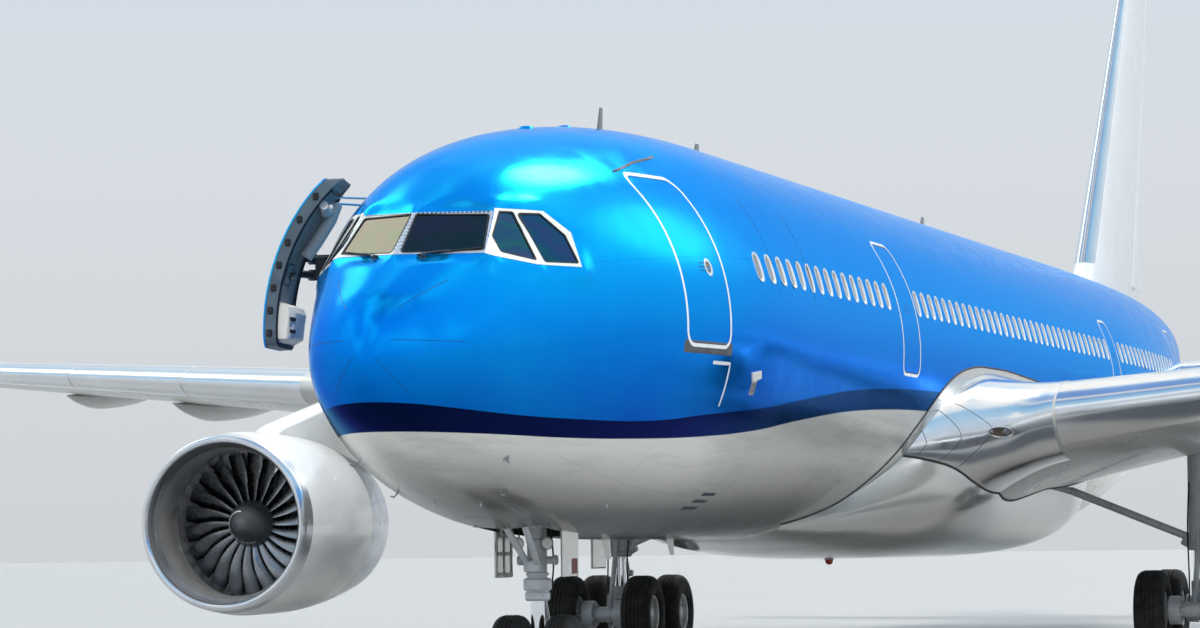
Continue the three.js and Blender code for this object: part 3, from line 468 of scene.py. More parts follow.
# Livery line: upper and lower edge of the dark stripe. Columns: station, upper, lower
STRIPE = [
    (0, -1.19, -1.53),
    (1.8, -1.32, -1.555),
    (3.4, -1.36, -1.58),
    (4.9, -1.35, -1.565),
    (6.5, -1.235, -1.515),
    (8.7, -1.09, -1.385),
    (10.5, -0.93, -1.22),
    (14, -0.68, -0.98),
    (20, -0.55, -0.85),
    (38, -0.55, -0.85),
    (46, -0.1, -0.38),
    (58.8, 1.25, 1.1),
]
STRIPE_LOW, STRIPE_HIGH = -3.0, 3.0
DEEP_BLUE = (0.0, 0.13, 0.6)
LIGHT_BLUE = (0.0, 0.27, 0.88)
SKY_BLUE = (0.008, 0.52, 1.0)
HIGH_BLUE = (0.012, 0.4, 0.9)
NAVY = (0.0, 0.006, 0.045)
EDGE_BLUE = (0.02, 0.5, 1.0)
SEAM_TONE = (0.0, 0.02, 0.06)
# How far up the sides the blues follow each other, from the stripe to the crown: painted reflection and shade
# by height, deep blue low down where the side faces the floor, lightest along the middle of the side and a
# little darker at the crown
PAINTED_REFLECTION_BLUES = [(0.0, DEEP_BLUE), (0.28, LIGHT_BLUE), (0.52, SKY_BLUE), (0.85, HIGH_BLUE)]
BLUES_FROM, BLUES_TO = -1.4, 2.7
# Painted shade: between these heights the belly's colour runs from BELLY_SHADE at the keel up to BELLY
KEEL_SHADE_FROM, KEEL_SHADE_TO = -2.7, -1.7
STRIPE_EDGE = 0.003
BELLY = (0.88, 0.87, 0.81)
BELLY_SHADE = (0.05, 0.05, 0.047)


def stripe_edge(g, along, column):
    """The height of one edge of the stripe at a distance along the fuselage, as a socket."""
    node = g.add("ShaderNodeFloatCurve", {"Value": along})
    curve = node.mapping.curves[0]
    reach = STRIPE_HIGH - STRIPE_LOW
    points = [(row[0] / LENGTH, (row[column] - STRIPE_LOW) / reach) for row in STRIPE]
    curve.points[0].location = points[0]
    curve.points[1].location = points[-1]
    for place in points[1:-1]:
        curve.points.new(*place)
    node.mapping.update()
    return g.span(node.outputs[0], 0, 1, height_z(STRIPE_LOW), height_z(STRIPE_HIGH))


SEAM_PITCH = 2.665
SEAMS_START = 3.4
SEAM_ANGLE = math.radians(36)
RING_SEAM, LONG_SEAM = 0.004, 0.0022


def skin_lines(g, along, height, side):
    """Frame and stringer seams of the skin as dark, thin lines: 1 in a seam and 0 beside it."""

    def lines(value, pitch, width):
        part = g.math("FRACT", g.math("DIVIDE", value, pitch))
        return g.math("LESS_THAN", part, width / pitch)

    around = g.math("ARCTAN2", side, g.math("SUBTRACT", height, height_z(0)))
    ring = lines(along, SEAM_PITCH * SCALE, RING_SEAM)
    seam = lines(around, SEAM_ANGLE, LONG_SEAM)
    behind = g.math("GREATER_THAN", along, station_y(SEAMS_START))
    return g.math("MULTIPLY", g.math("MAXIMUM", ring, seam), behind)


def fuselage_paint(name="fuselage_paint", forward=0.0):
    """Blue over white with a navy stripe, with painted reflection and shade in the blues and painted shade on
    the belly; forward is how far ahead of its place a piece stands.
    """
    g = Graph(name, Coat_Weight=0.02, Coat_Roughness=0.02, Specular_IOR_Level=0.15)
    xyz = g.add("ShaderNodeSeparateXYZ", {0: g.where}).outputs
    along = g.span(xyz["Y"], station_y(-forward), station_y(LENGTH - forward))
    upper, lower = stripe_edge(g, along, 1), stripe_edge(g, along, 2)
    blue_part = g.math("DIVIDE", g.math("SUBTRACT", xyz["Z"], upper), STRIPE_EDGE, clamp=True)
    belly_part = g.math("DIVIDE", g.math("SUBTRACT", lower, xyz["Z"]), STRIPE_EDGE, clamp=True)
    # Painted reflection and shade: the blue is picked by height alone
    blue = g.ramp(g.span(xyz["Z"], height_z(BLUES_FROM), height_z(BLUES_TO)), PAINTED_REFLECTION_BLUES)
    cloud = g.noise(1.4, 6, stretch=(1, 0.5, 1))
    blue = g.mix(g.span(cloud, 0.4, 0.75, 0, 0.25), blue, SKY_BLUE)
    # Painted shade: the belly darkens towards the keel
    keel = g.span(xyz["Z"], height_z(KEEL_SHADE_FROM), height_z(KEEL_SHADE_TO))
    belly = g.mix(keel, BELLY_SHADE, BELLY)
    # Painted reflection: stretched noise mottles the belly with dark patches of BELLY_SHADE
    painted_reflection_mottle = g.noise(3.0, 8, 0.7, stretch=(1, 0.25, 3))
    belly = g.mix(g.span(painted_reflection_mottle, 0.5, 0.8, 0, 0.3), belly, BELLY_SHADE)
    tone = g.mix(belly_part, g.mix(blue_part, NAVY, blue), belly)
    seams = skin_lines(g, xyz["Y"], xyz["Z"], xyz["X"])
    tone = g.mix(g.math("MULTIPLY", seams, 0.35), tone, SEAM_TONE)
    g.set("Base Color", tone)
    g.set("Metallic", g.span(belly_part, 0, 1, 0.88, 0.55))
    g.set("Specular Tint", g.mix(belly_part, EDGE_BLUE, (1.0, 1.0, 1.0)))
    g.gloss(5, 0.13, 0.22)
    g.bump(g.noise(2.2, 2), 0.12, 0.004)
    return g.material


def iridescent_glass(name, tint, pink, green, size):
    """Coated cockpit glass: a dark mirror, with a film whose colour drifts over the pane."""
    g = Graph(name, Metallic=1.0)
    drift = g.noise(size, 2, 0.4, stretch=(1, 0.6, 1.6))
    film = [(0.36, tint), (0.46, pink), (0.52, tint), (0.58, green), (0.66, tint)]
    g.set("Base Color", g.ramp(drift, film))
    g.gloss(30, 0.02, 0.05, detail=4)
    return g.material


def tyre_rubber():
    g = Graph("tyre_rubber", Specular_IOR_Level=0.3)
    tones = [(0.3, (0.012, 0.012, 0.013)), (0.75, (0.045, 0.043, 0.04))]
    g.set("Base Color", g.ramp(g.noise(9, 6), tones))
    g.gloss(14, 0.65, 0.9)
    g.bump(g.noise(220, 4), 0.4, 0.0008)
    return g.material


FUSELAGE = fuselage_paint()
WHITE = finish("white_gloss", (0.82, 0.8, 0.76), 0.22, vary=0.03, Coat_Weight=0.5, Coat_Roughness=0.05)
BELLY_PAINT = finish(
    "belly_gloss", (0.6, 0.6, 0.57), 0.14, 0.6, vary=0.06, grain=2.0, Coat_Weight=0.3, Coat_Roughness=0.03
)
GREY = finish("wing_grey", (0.52, 0.52, 0.5), 0.32, 0.15, vary=0.06, grain=2.5, Coat_Weight=0.3)
POLISHED = finish("polished_metal", (0.78, 0.79, 0.81), 0.14, 1.0, vary=0.05, grain=3.0)
HOT_METAL = finish("hot_metal", (0.42, 0.37, 0.33), 0.32, 1.0, vary=0.25, grain=7.0, wear=(0.2, 0.16, 0.14))
DARK_METAL = finish("dark_metal", (0.13, 0.135, 0.15), 0.35, 0.9, vary=0.2, grain=12.0)
FAN_METAL = finish("fan_metal", (0.34, 0.35, 0.37), 0.26, 1.0, vary=0.15, grain=9.0)
GEAR_PAINT = finish("gear_paint", (0.58, 0.6, 0.62), 0.38, 0.1, vary=0.1, grain=10.0, wear=(0.36, 0.36, 0.35))
CHROME = finish("oleo_chrome", (0.85, 0.86, 0.88), 0.08, 1.0, vary=0.03)
STEEL = finish("steel_fittings", (0.4, 0.41, 0.43), 0.35, 0.9, vary=0.15, grain=20.0, bump=0.2)
BLACK = finish("black_seal", (0.012, 0.012, 0.014), 0.6, vary=0.3, grain=15.0)
DARK_LINE = finish("panel_gap", (0.01, 0.02, 0.035), 0.6, vary=0.2)
WHITE_LINE = finish("white_marking", (0.85, 0.87, 0.9), 0.3, vary=0.03, Coat_Weight=1.0)
SURROUND = finish("window_surround", (0.7, 0.73, 0.76), 0.35, 0.3, vary=0.08, grain=20.0)
PANE = finish("cabin_pane", (0.1, 0.075, 0.06), 0.06, 0.0, vary=0.35, grain=5.0, Coat_Weight=1.0)
FRAME_GREY = finish("window_frame", (0.5, 0.55, 0.6), 0.3, 0.5, vary=0.1, grain=14.0, bump=0.1)
STRIP = finish("diverter_strip", (0.0, 0.07, 0.28), 0.45, vary=0.1, Specular_IOR_Level=0.2)
DARK_RED = finish("dark_red_block", (0.16, 0.02, 0.02), 0.45, vary=0.15, grain=9.0)
GLASS_FRONT = iridescent_glass(
    "windscreen_film", (0.055, 0.065, 0.06), (0.07, 0.05, 0.07), (0.035, 0.065, 0.05), 2.4
)
GLASS_SIDE = iridescent_glass(
    "side_window_film", (0.012, 0.085, 0.17), (0.04, 0.07, 0.18), (0.01, 0.12, 0.14), 3.1
)
RUBBER = tyre_rubber()
LINING = finish("cabin_lining", (0.3, 0.31, 0.32), 0.6, vary=0.15, grain=4.0)
FUSELAGE_FIXED = fuselage_paint("fuselage_paint_open_door", OPEN_FORWARD)
FRAME_WHITE = finish("side_window_frame", (0.78, 0.76, 0.7), 0.3, 0.1, vary=0.05, grain=14.0, Coat_Weight=0.5)
DOOR_METAL = finish("door_structure", (0.075, 0.105, 0.135), 0.45, 0.2, vary=0.16, grain=10.0, bump=0.1)
DOOR_LINER = finish("door_lining", (0.3, 0.27, 0.24), 0.5, vary=0.1, grain=8.0, bump=0.08)
DOOR_COVER = finish("door_covers", (0.66, 0.64, 0.6), 0.45, vary=0.06, grain=8.0, bump=0.08)
ARM_METAL = finish("hinge_casting", (0.09, 0.1, 0.11), 0.4, 0.7, vary=0.2, grain=14.0, bump=0.15)
BAY_PAINT = finish("bay_primer", (0.42, 0.45, 0.4), 0.5, 0.05, vary=0.1, grain=8.0, wear=(0.3, 0.31, 0.28))
GALLEY = finish("galley_fronts", (0.5, 0.5, 0.48), 0.4, 0.1, vary=0.06, grain=9.0, Coat_Weight=0.3)
CABIN_FLOOR = finish("cabin_floor", (0.1, 0.11, 0.13), 0.75, vary=0.25, grain=40.0, bump=0.3)
BEACON = finish("red_lamp", (0.5, 0.01, 0.01), 0.08, vary=0.1, Coat_Weight=1.0)
GREEN_LAMP = finish("green_lamp", (0.01, 0.4, 0.12), 0.08, vary=0.1, Coat_Weight=1.0)
LAMP_DARK = finish("lamp_under_glass", (0.1, 0.08, 0.06), 0.05, 0.4, vary=0.4, grain=8.0, Coat_Weight=1.0)
SEAM_GREY = finish("hatch_edge", (0.2, 0.21, 0.22), 0.5, vary=0.1)
FIN_WHITE = finish(
    "fin_white", (0.78, 0.78, 0.77), 0.24, vary=0.04, grain=1.5, Coat_Weight=0.6, Coat_Roughness=0.05
)
SILVER = finish("cowl_silver", (0.56, 0.6, 0.65), 0.24, 0.85, vary=0.06, grain=3.0, Coat_Weight=0.3)
LIP_METAL = finish("inlet_lip", (0.74, 0.75, 0.77), 0.2, 0.9, vary=0.05, grain=4.0)
LINER = finish("inlet_liner", (0.3, 0.295, 0.29), 0.45, 0.5, vary=0.12, grain=5.0, bump=0.15)
SPINNER_GREY = finish("spinner", (0.09, 0.095, 0.105), 0.3, 0.2, vary=0.15, grain=6.0, Coat_Weight=0.6)
WHEEL_PAINT = finish(
    "wheel_paint", (0.62, 0.63, 0.64), 0.36, 0.35, vary=0.12, grain=14.0, wear=(0.4, 0.4, 0.4)
)
LAMP = finish("lamp_glass", (0.85, 0.86, 0.8), 0.05, 0.0, vary=0.02, Coat_Weight=1.0)


# Fuselage

def hermite(t, width, ends, slopes):
    """A cubic between two values with a slope at each."""
    blend = (1 + 2 * t) * (1 - t) ** 2 * ends[0] + t * t * (3 - 2 * t) * ends[1]
    return blend + width * (t * (1 - t) ** 2 * slopes[0] - t * t * (1 - t) * slopes[1])


def column(table, index):
    """A column of a table as a smooth function of its first column, without overshoot."""
    at = np.array([row[0] for row in table], float)
    value = np.array([row[index] for row in table], float)
    rise = np.diff(value) / np.diff(at)
    before, after = rise[:-1], rise[1:]
    both = before * after > 0
    middle = np.where(both, 2 * before * after / np.where(both, before + after, 1), 0)
    slope = np.concatenate([[rise[0]], middle, [rise[-1]]])

    def curve(station):
        i = np.clip(np.searchsorted(at, station) - 1, 0, len(rise) - 1)
        width = at[i + 1] - at[i]
        t = (station - at[i]) / width
        return hermite(t, width, (value[i], value[i + 1]), (slope[i], slope[i + 1]))

    return curve


def spline(at, value, start=None, end=None):
    """A curve through points with a steady bend; its slope may be given at either end."""
    at, value = np.asarray(at, float), np.asarray(value, float)
    step = np.diff(at)
    rise = np.diff(value) / step
    n = len(at)
    system, right = np.zeros((n, n)), np.zeros(n)
    for i in range(1, n - 1):
        before, after = 1 / step[i - 1], 1 / step[i]
        system[i, i - 1:i + 2] = before, 2 * (before + after), after
        right[i] = 3 * (rise[i - 1] * before + rise[i] * after)
    system[0, :2], right[0] = ((2, 1), 3 * rise[0]) if start is None else ((1, 0), start)
    system[-1, -2:], right[-1] = ((1, 2), 3 * rise[-1]) if end is None else ((0, 1), end)
    slope = np.linalg.solve(system, right)

    def curve(place):
        i = np.clip(np.searchsorted(at, place) - 1, 0, n - 2)
        t = (place - at[i]) / step[i]
        return hermite(t, step[i], (value[i], value[i + 1]), (slope[i], slope[i + 1]))

    return curve


NOSE_AT = [math.sqrt(row[0]) for row in NOSE]
TAIL_AT = [row[0] for row in TAIL]
NOSE_SHAPE = [spline(NOSE_AT, [row[k] for row in NOSE], end=0) for k in (1, 2, 3, 4)]
TAIL_SHAPE = [spline(TAIL_AT, [row[k] for row in TAIL], start=0) for k in (1, 2, 3, 4)]


def outline(station):
    """Half width, top, bottom and widest height of the fuselage at a station."""
    if station < NOSE[-1][0]:
        return [float(f(math.sqrt(station))) for f in NOSE_SHAPE]
    if station > TAIL[0][0]:
        return [float(f(station)) for f in TAIL_SHAPE]
    return [RADIUS, RADIUS, -RADIUS, 0.0]


def ring_at(station, inset=0.0, sides=AROUND):
    half, top, bottom, widest = outline(station)
    turn = full_turn(sides)
    reach = np.where(np.cos(turn) > 0, top - widest, widest - bottom) - inset
    side, height = (half - inset) * np.sin(turn), widest + reach * np.cos(turn)
    return np.stack([side, np.full(sides, station), height], 1)


def on_front(side, height):
    """The point of the plain nose that lies straight ahead of a place in the front view."""
    low, high = 0.001, 9.0
    for _ in range(50):
        middle = (low + high) / 2
        half, top, bottom, widest = outline(middle)
        reach = top - widest if height > widest else widest - bottom
        inside = (side / half) ** 2 + ((height - widest) / reach) ** 2 < 1
        low, high = (low, middle) if inside else (middle, high)
    return Vector((side, low, height))


# Cockpit windows in the front view, port side: corners as side and height, in order
PANES = {
    "windscreen": [(0.035, 1.082), (0.068, 0.607), (0.889, 0.634), (0.795, 1.112)],
    "sliding_window": [
        (0.888, 1.133), (0.927, 0.814), (1.046, 0.638), (1.339, 0.55), (0.999, 1.146),
    ],
    "rear_window": [
        (1.058, 1.117), (1.415, 0.546), (1.643, 0.538), (1.492, 0.893), (1.233, 1.139),
    ],
}


def pane_planes():
    """Each pane's corners on its own flat plane, with the plane's point and outward normal."""
    planes = {}
    for name, corners in PANES.items():
        points = np.array([on_front(*c) for c in corners])
        centre = points.mean(0)
        normal = np.linalg.svd(points - centre)[2][2]
        if normal[1] > 0:
            normal = -normal
        flat = points - np.outer((points - centre) @ normal, normal)
        for sign, side in ((1, "left"), (-1, "right")):
            turn = np.array([sign, 1, 1])
            order = slice(None) if sign == 1 else slice(None, None, -1)
            planes[name, side] = ((flat * turn)[order], centre * turn, normal * turn)
    return planes


PANE_PLANES = pane_planes()
FLAT_MARGIN = 0.26
FLAT_RIM = 0.09
FLAT_REACH = 0.35
FLAT_STATIONS, FLAT_HEIGHTS = (0.7, 4.2), (0, 1.7)


def outside(points, corners, normal):
    """Distance of points outside a polygon, measured in its plane; 0 inside."""
    best = np.full(len(points), np.inf)
    inside = np.ones(len(points), bool)
    for a, b in zip(corners, np.roll(corners, -1, axis=0)):
        edge = b - a
        out = np.cross(edge, normal)
        out /= np.linalg.norm(out)
        if (corners.mean(0) - a) @ out > 0:
            out = -out
        inside &= (points - a) @ out <= 0
        t = np.clip(((points - a) @ edge) / (edge @ edge), 0, 1)
        gap = points - (a + t[:, None] * edge)
        gap -= np.outer(gap @ normal, normal)
        best = np.minimum(best, np.linalg.norm(gap, axis=1))
    return np.where(inside, 0, best)


def flattened(points):
    """The nose with a flat facet under each cockpit window, faded into the curve around it."""
    points = np.array(points, float)
    station, height = points[:, 1], points[:, 2]
    near = (station > FLAT_STATIONS[0]) & (station < FLAT_STATIONS[1])
    near &= (height > FLAT_HEIGHTS[0]) & (height < FLAT_HEIGHTS[1])
    picked = points[near]
    push = np.zeros_like(picked)
    total = np.full(len(picked), 1e-9)
    fade = np.zeros(len(picked))
    for corners, centre, normal in PANE_PLANES.values():
        away = (picked - centre) @ normal
        gap = outside(picked, corners, normal)
        t = np.clip(1 - (gap - FLAT_RIM) / FLAT_MARGIN, 0, 1)
        t = t * t * (3 - 2 * t) * (np.abs(away) < FLAT_REACH)
        share = t / (gap + 0.02) ** 3
        push -= (share * away)[:, None] * normal
        total += share
        fade = np.maximum(fade, t)
    points[near] = picked + push * (fade / total)[:, None]
    return points


def stations_between(start, end):
    """Ring stations: close together on the nose and tail, and about every half metre between."""
    nose_end, tail_start = NOSE[-1][0], TAIL[0][0]
    nose = [nose_end * (i / NOSE_STEPS) ** 2 for i in range(1, NOSE_STEPS + 1)]
    body = list(np.arange(nose_end + BODY_STEP, tail_start, BODY_STEP))
    tail = list(np.arange(tail_start, TAIL_END, TAIL_STEP))
    first = start + (RING_MARGIN if start > NOSE_TIP else start)
    inner = [s for s in [*nose, *body, *tail] if first < s < end - RING_MARGIN]
    return [start, *inner, end]


def tube(start, end):
    points, faces = loft([ring_at(s) for s in stations_between(start, end)])
    return flattened(points), faces


REFERENCE = tube(NOSE_TIP, TAIL_END)
REFERENCE_TREE = BVHTree.FromPolygons([tuple(p) for p in REFERENCE[0]], REFERENCE[1])


def reference_normals():
    """Outward normals of the whole fuselage at its points."""
    points, faces = REFERENCE
    normals = np.zeros_like(points)
    quads = np.array([f for f in faces if len(f) == 4])
    a, b, c, d = (points[quads[:, k]] for k in range(4))
    normal = np.cross(c - a, d - b)
    for k in range(4):
        np.add.at(normals, quads[:, k], normal)
    normals = normals / np.maximum(np.linalg.norm(normals, axis=1), 1e-12)[:, None]
    outward = (normals * (points - (0, LENGTH / 2, 0)))[:, [0, 2]].sum() >= 0
    return normals if outward else -normals


REFERENCE_NORMALS = reference_normals()


def reference_normal(face, place):
    """The normal of the whole fuselage at a place by one of its faces."""
    ids = list(REFERENCE[1][face])
    gap = np.linalg.norm(REFERENCE[0][ids] - np.array(place), axis=1)
    share = 1 / (gap + 1e-5)
    normal = (REFERENCE_NORMALS[ids] * share[:, None]).sum(0)
    return normal / np.linalg.norm(normal)


SKIN_REACH = 0.02
SKIN_TURN = 0.8


def smooth_as_reference(obj):
    """Gives the outer faces of a cut skin the normals of the whole, uncut fuselage."""
    mesh = obj.data
    back = TO_FRAME.inverted()
    normals = np.zeros((len(mesh.loops), 3))
    found = {}
    for polygon in mesh.polygons:
        own = polygon.normal
        for loop_index in polygon.loop_indices:
            vertex = mesh.loops[loop_index].vertex_index
            if vertex not in found:
                hit, _, face, distance = REFERENCE_TREE.find_nearest(back @ mesh.vertices[vertex].co)
                on_skin = len(REFERENCE[1][face]) <= 4 and distance <= SKIN_REACH
                found[vertex] = Vector(reference_normal(face, hit)) if on_skin else None
            normal = found[vertex]
            normals[loop_index] = normal if normal and normal.dot(own) > SKIN_TURN else own
    mesh.polygons.foreach_set("use_smooth", [True] * len(mesh.polygons))
    mesh.normals_split_custom_set([tuple(n) for n in normals])


def cast(origin, way):
    """Where a ray meets the skin; a ray that slips along an edge is moved aside a little."""
    way = Vector(way)
    for nudge in (0, 1e-4, -2e-4):
        hit, normal, _, _ = REFERENCE_TREE.ray_cast(Vector(origin) + Vector((nudge, nudge, nudge)), way)
        if hit:
            return hit, -normal if normal.dot(way) > 0 else normal
    raise ValueError(f"no skin at {tuple(origin)}")


def on_side(station, height, side=1):
    """The skin's point and normal at a station and height, on the port (1) or starboard (-1) side."""
    return cast((5 * side, station, height), (-side, 0, 0))


def on_nose(side, height):
    return cast((side, -2, height), (0, 1, 0))


def on_belly(side, station):
    return cast((side, station, -6), (0, 0, 1))


def on_top(side, station):
    return cast((side, station, 6), (0, 0, -1))


def rounded(front, rear, bottom, top, corner):
    """A rectangle with round corners as (station, height) points."""
    points, steps = [], 6
    for cx, cy, start in (
        (rear - corner, bottom + corner, -90), (rear - corner, top - corner, 0),
        (front + corner, top - corner, 90), (front + corner, bottom + corner, 180),
    ):
        for k in range(steps + 1):
            turn = math.radians(start + 90 * k / steps)
            points.append((cx + corner * math.cos(turn), cy + corner * math.sin(turn)))
    return points


def refined(path, pitch, loop):
    """A line of points with none further apart than pitch."""
    points = [np.array(p, float) for p in path]
    if loop:
        points.append(points[0])
    out = []
    for a, b in zip(points, points[1:]):
        count = max(1, math.ceil(np.linalg.norm(b - a) / pitch))
        out.extend(a + (b - a) * k / count for k in range(count))
    if not loop:
        out.append(points[-1])
    return out


BAND_PITCH, PLATE_PITCH = 0.12, 0.08


def band(path, width, land, lift=0.004, sink=0.012, loop=True):
    """A flat strip that follows a line over the skin; land gives the skin under a 2D point."""
    points = refined(path, BAND_PITCH, loop)
    count = len(points)
    rings = []
    for i, p in enumerate(points):
        before = points[i - 1] if loop or i else p
        after = points[(i + 1) % count] if loop or i + 1 < count else p
        way = after - before
        way = way / max(np.linalg.norm(way), 1e-9)
        across = np.array([-way[1], way[0]]) * width / 2
        (left, n1), (right, n2) = land(*(p + across)), land(*(p - across))
        rings.append([left - n1 * sink, left + n1 * lift, right + n2 * lift, right - n2 * sink])
    if loop:
        rings.append(rings[0])
    return loft(rings, caps=not loop)


def prism(path, low, high):
    """A prism across the fuselage from (station, height) points."""
    rings = [[(side, s, h) for s, h in path] for side in (low, high)]
    return loft(rings)


GAP = 0.014
NOSE_BAY_CUT = (0, 6.2, -3.05), (0.86, 1.7, 2.0)
# How far across the fuselage each cut reaches
PORT_SIDE, STARBOARD_SIDE = (0.5, 3.4), (-3.4, -1.0)
DOORWAYS = (0.6, 3.3), (-3.4, -1.12)
DOOR_SPAN = (5.2, 7.0)
CARGO_CORNER, SLOT_CORNER, SLOT_LAP = 0.09, 0.012, 0.1
CARGO_DOOR_DEPTH = 0.13
SHADOW_OFFSET = 0.2


def door_path(door, grow):
    """A door's outline with round corners, grown by a distance."""
    front, rear, bottom, top = door
    return rounded(front - grow, rear + grow, bottom - grow, top + grow, DOOR_CORNER + grow)


def build_cargo_door(name, start, skin):
    """A cargo door's own skin, its opening, and the slot above that its hinge line needs."""
    end = start + CARGO_WIDTH
    path = rounded(start, end, CARGO_BOTTOM, CARGO_TOP, CARGO_CORNER)
    hole = rounded(start - GAP, end + GAP, CARGO_BOTTOM - GAP, CARGO_TOP + GAP, CARGO_CORNER)
    slot = rounded(start - GAP, end + GAP, CARGO_TOP - SLOT_LAP, CARGO_TOP + CARGO_SLOT, SLOT_CORNER)
    for opening in (hole, slot):
        carved(skin, prism(opening, *STARBOARD_SIDE))
    whole = tube(start - 0.3, end + 0.3)
    panel = make(name + "_skin", whole, FUSELAGE, body=name, replaces=[name], slot="fuselage_paint")
    carved(panel, prism(path, STARBOARD_SIDE[0], 0), "INTERSECT")
    inside = [ring_at(s, CARGO_DOOR_DEPTH, 64) for s in np.arange(start - 0.4, end + 0.5, 0.4)]
    carved(panel, loft(inside))
    smooth_as_reference(panel)


def build_fuselage():
    skins = {
        name: make(name + "_skin", tube(*span), FUSELAGE, replaces=[name], slot="fuselage_paint")
        for name, span in JOINTS.items()
    }
    nose = skins["nose_section"]
    door = make(
        "port_door_1", tube(*DOOR_SPAN), FUSELAGE, replaces=["passenger_door_1_left"], slot="fuselage_paint"
    )
    carved(door, prism(door_path(DOOR_1, 0), *PORT_SIDE), "INTERSECT")
    for reach in DOORWAYS:
        carved(nose, prism(door_path(DOOR_1, GAP), *reach))
    carved(nose, box(*NOSE_BAY_CUT))
    for name, start in CARGO_DOORS.items():
        build_cargo_door(name, start, skins["forward_fuselage" if start < 20 else "rear_fuselage"])
    build_glazing(nose)
    build_cabin_windows(skins)
    for skin in [*skins.values(), door]:
        smooth_as_reference(skin)
        skin.cycles.shadow_terminator_offset = SHADOW_OFFSET
        skin.cycles.shadow_terminator_geometry_offset = SHADOW_OFFSET


# Cockpit glazing

SEAL, SEAL_CORNER, GLASS_CORNER = 0.02, 0.05, 0.04
GLASS_DEPTH, GLASS_BACK = 0.007, 0.03
SEAL_LAP, SEAL_HEIGHTS, RECESS = 0.003, (-0.034, 0.0025), (-0.035, 0.3)
# Outlines of the metal around the windows in the front view, port side
FRAME_JOINT = [(0.83, 1.154), (0.922, 0.6)]
FRONT_FRAME = [(0, 1.122), *FRAME_JOINT, (0.07, 0.575), (0, 0.572)]
SIDE_FRAME = [
    (0.834, 1.19), (1.245, 1.185), (1.52, 0.93), (1.705, 0.492), (1.37, 0.492), (1.03, 0.567), (0.927, 0.6),
]
FRAME_LIFT, FRAME_SINK = 0.004, 0.008
# Rivets: the line's ends in the front view, pitch and radius; a head's height and share of the radius
RIVET_LINES = [
    ([(0.03, 1.108), (0.8, 1.14)], 0.045, 0.0145),
    ([(0.011, 1.06), (0.036, 0.62)], 0.042, 0.009),
]
RIVET_HEAD = [(0, 1), (0.005, 1), (0.007, 0.4)]
RIVET_SINK = 0.003


def pane_frame(name, side):
    """A pane's corners in its own plane, and a function that lifts such points off it."""
    corners, centre, normal = PANE_PLANES[name, side]
    along = np.cross((0, 0, 1), normal)
    along /= np.linalg.norm(along)
    up = np.cross(normal, along)
    flat = np.stack([(corners - centre) @ along, (corners - centre) @ up], 1)

    def lift(points, height):
        return centre + np.outer(points[:, 0], along) + np.outer(points[:, 1], up) + height * normal

    return flat, lift


def flat_plate(points, lift, low, high):
    return loft([lift(points, low), lift(points, high)])


def flat_ring(outer, inner, lift, low, high):
    corners = (outer, low), (outer, high), (inner, high), (inner, low), (outer, low)
    return loft([lift(points, height) for points, height in corners], caps=False)


def skin_layer(start, end, lift):
    """A closed body of the plain fuselage, grown by a distance."""
    points, faces = tube(start, end)
    nearest = [REFERENCE_TREE.find_nearest(Vector(p))[2] for p in points]
    grown_points = [p + reference_normal(face, p) * lift for p, face in zip(points, nearest)]
    return np.array(grown_points), faces


def window_frame(name, path, material):
    """A thin frame over the skin inside an outline of the front view, without the window holes."""
    rings = [[(side, station, height) for side, height in path] for station in (0.8, 3.9)]
    obj = make(name, skin_layer(0.7, 4.0, FRAME_LIFT), material)
    carved(obj, loft(rings), "INTERSECT")
    carved(obj, skin_layer(0.6, 4.1, -FRAME_SINK))
    for pane, side in PANE_PLANES:
        flat, lift = pane_frame(pane, side)
        carved(obj, flat_plate(softened(grown(flat, SEAL), SEAL_CORNER), lift, -0.1, 0.2))
    smooth_as_reference(obj)


def rivets_along(ends, pitch, radius, sign):
    """Small round heads along a line of the front view, on top of the metal frames."""
    a, b = (np.array((sign * side, height)) for side, height in ends)
    count = max(1, round(np.linalg.norm(b - a) / pitch))
    shapes = []
    for k in range(count):
        place, normal = on_nose(*(a + (b - a) * (k + 0.5) / count))
        foot = place + normal * (FRAME_LIFT - RIVET_SINK)
        head = [(height, radius * share) for height, share in RIVET_HEAD]
        shapes.append(turned(head, foot, foot + normal, 8))
    return shapes


def build_glazing(nose):
    glass, seals = {}, []
    for name, side in PANE_PLANES:
        flat, lift = pane_frame(name, side)
        seal = softened(grown(flat, SEAL), SEAL_CORNER)
        carved(nose, flat_plate(seal, lift, *RECESS))
        inner = softened(grown(flat, -SEAL_LAP), GLASS_CORNER)
        seals.append(flat_ring(seal, inner, lift, *SEAL_HEIGHTS))
        pane = flat_plate(softened(flat, GLASS_CORNER), lift, -GLASS_BACK, -GLASS_DEPTH)
        glass.setdefault(name, []).append(pane)
    front, side_panes = glass["windscreen"], glass["sliding_window"] + glass["rear_window"]
    make("windscreens", joined(front), GLASS_FRONT, replaces=["cockpit_windows"], slot="glazing")
    make("side_windows", joined(side_panes), GLASS_SIDE)
    make("window_seals", joined(seals), BLACK)
    build_window_frames()


def build_window_frames():
    mirror = [(-side, height) for side, height in FRONT_FRAME[-2:0:-1]]
    window_frame("windscreen_frame", [*FRONT_FRAME, *mirror], FRAME_GREY)
    for side, sign in (("left", 1), ("right", -1)):
        window_frame(f"side_window_frame_{side}", [(sign * x, z) for x, z in SIDE_FRAME], FRAME_WHITE)
    rivets = [head for sign in (1, -1) for row in RIVET_LINES for head in rivets_along(*row, sign)]
    make("window_rivets", joined(rivets), DARK_LINE)


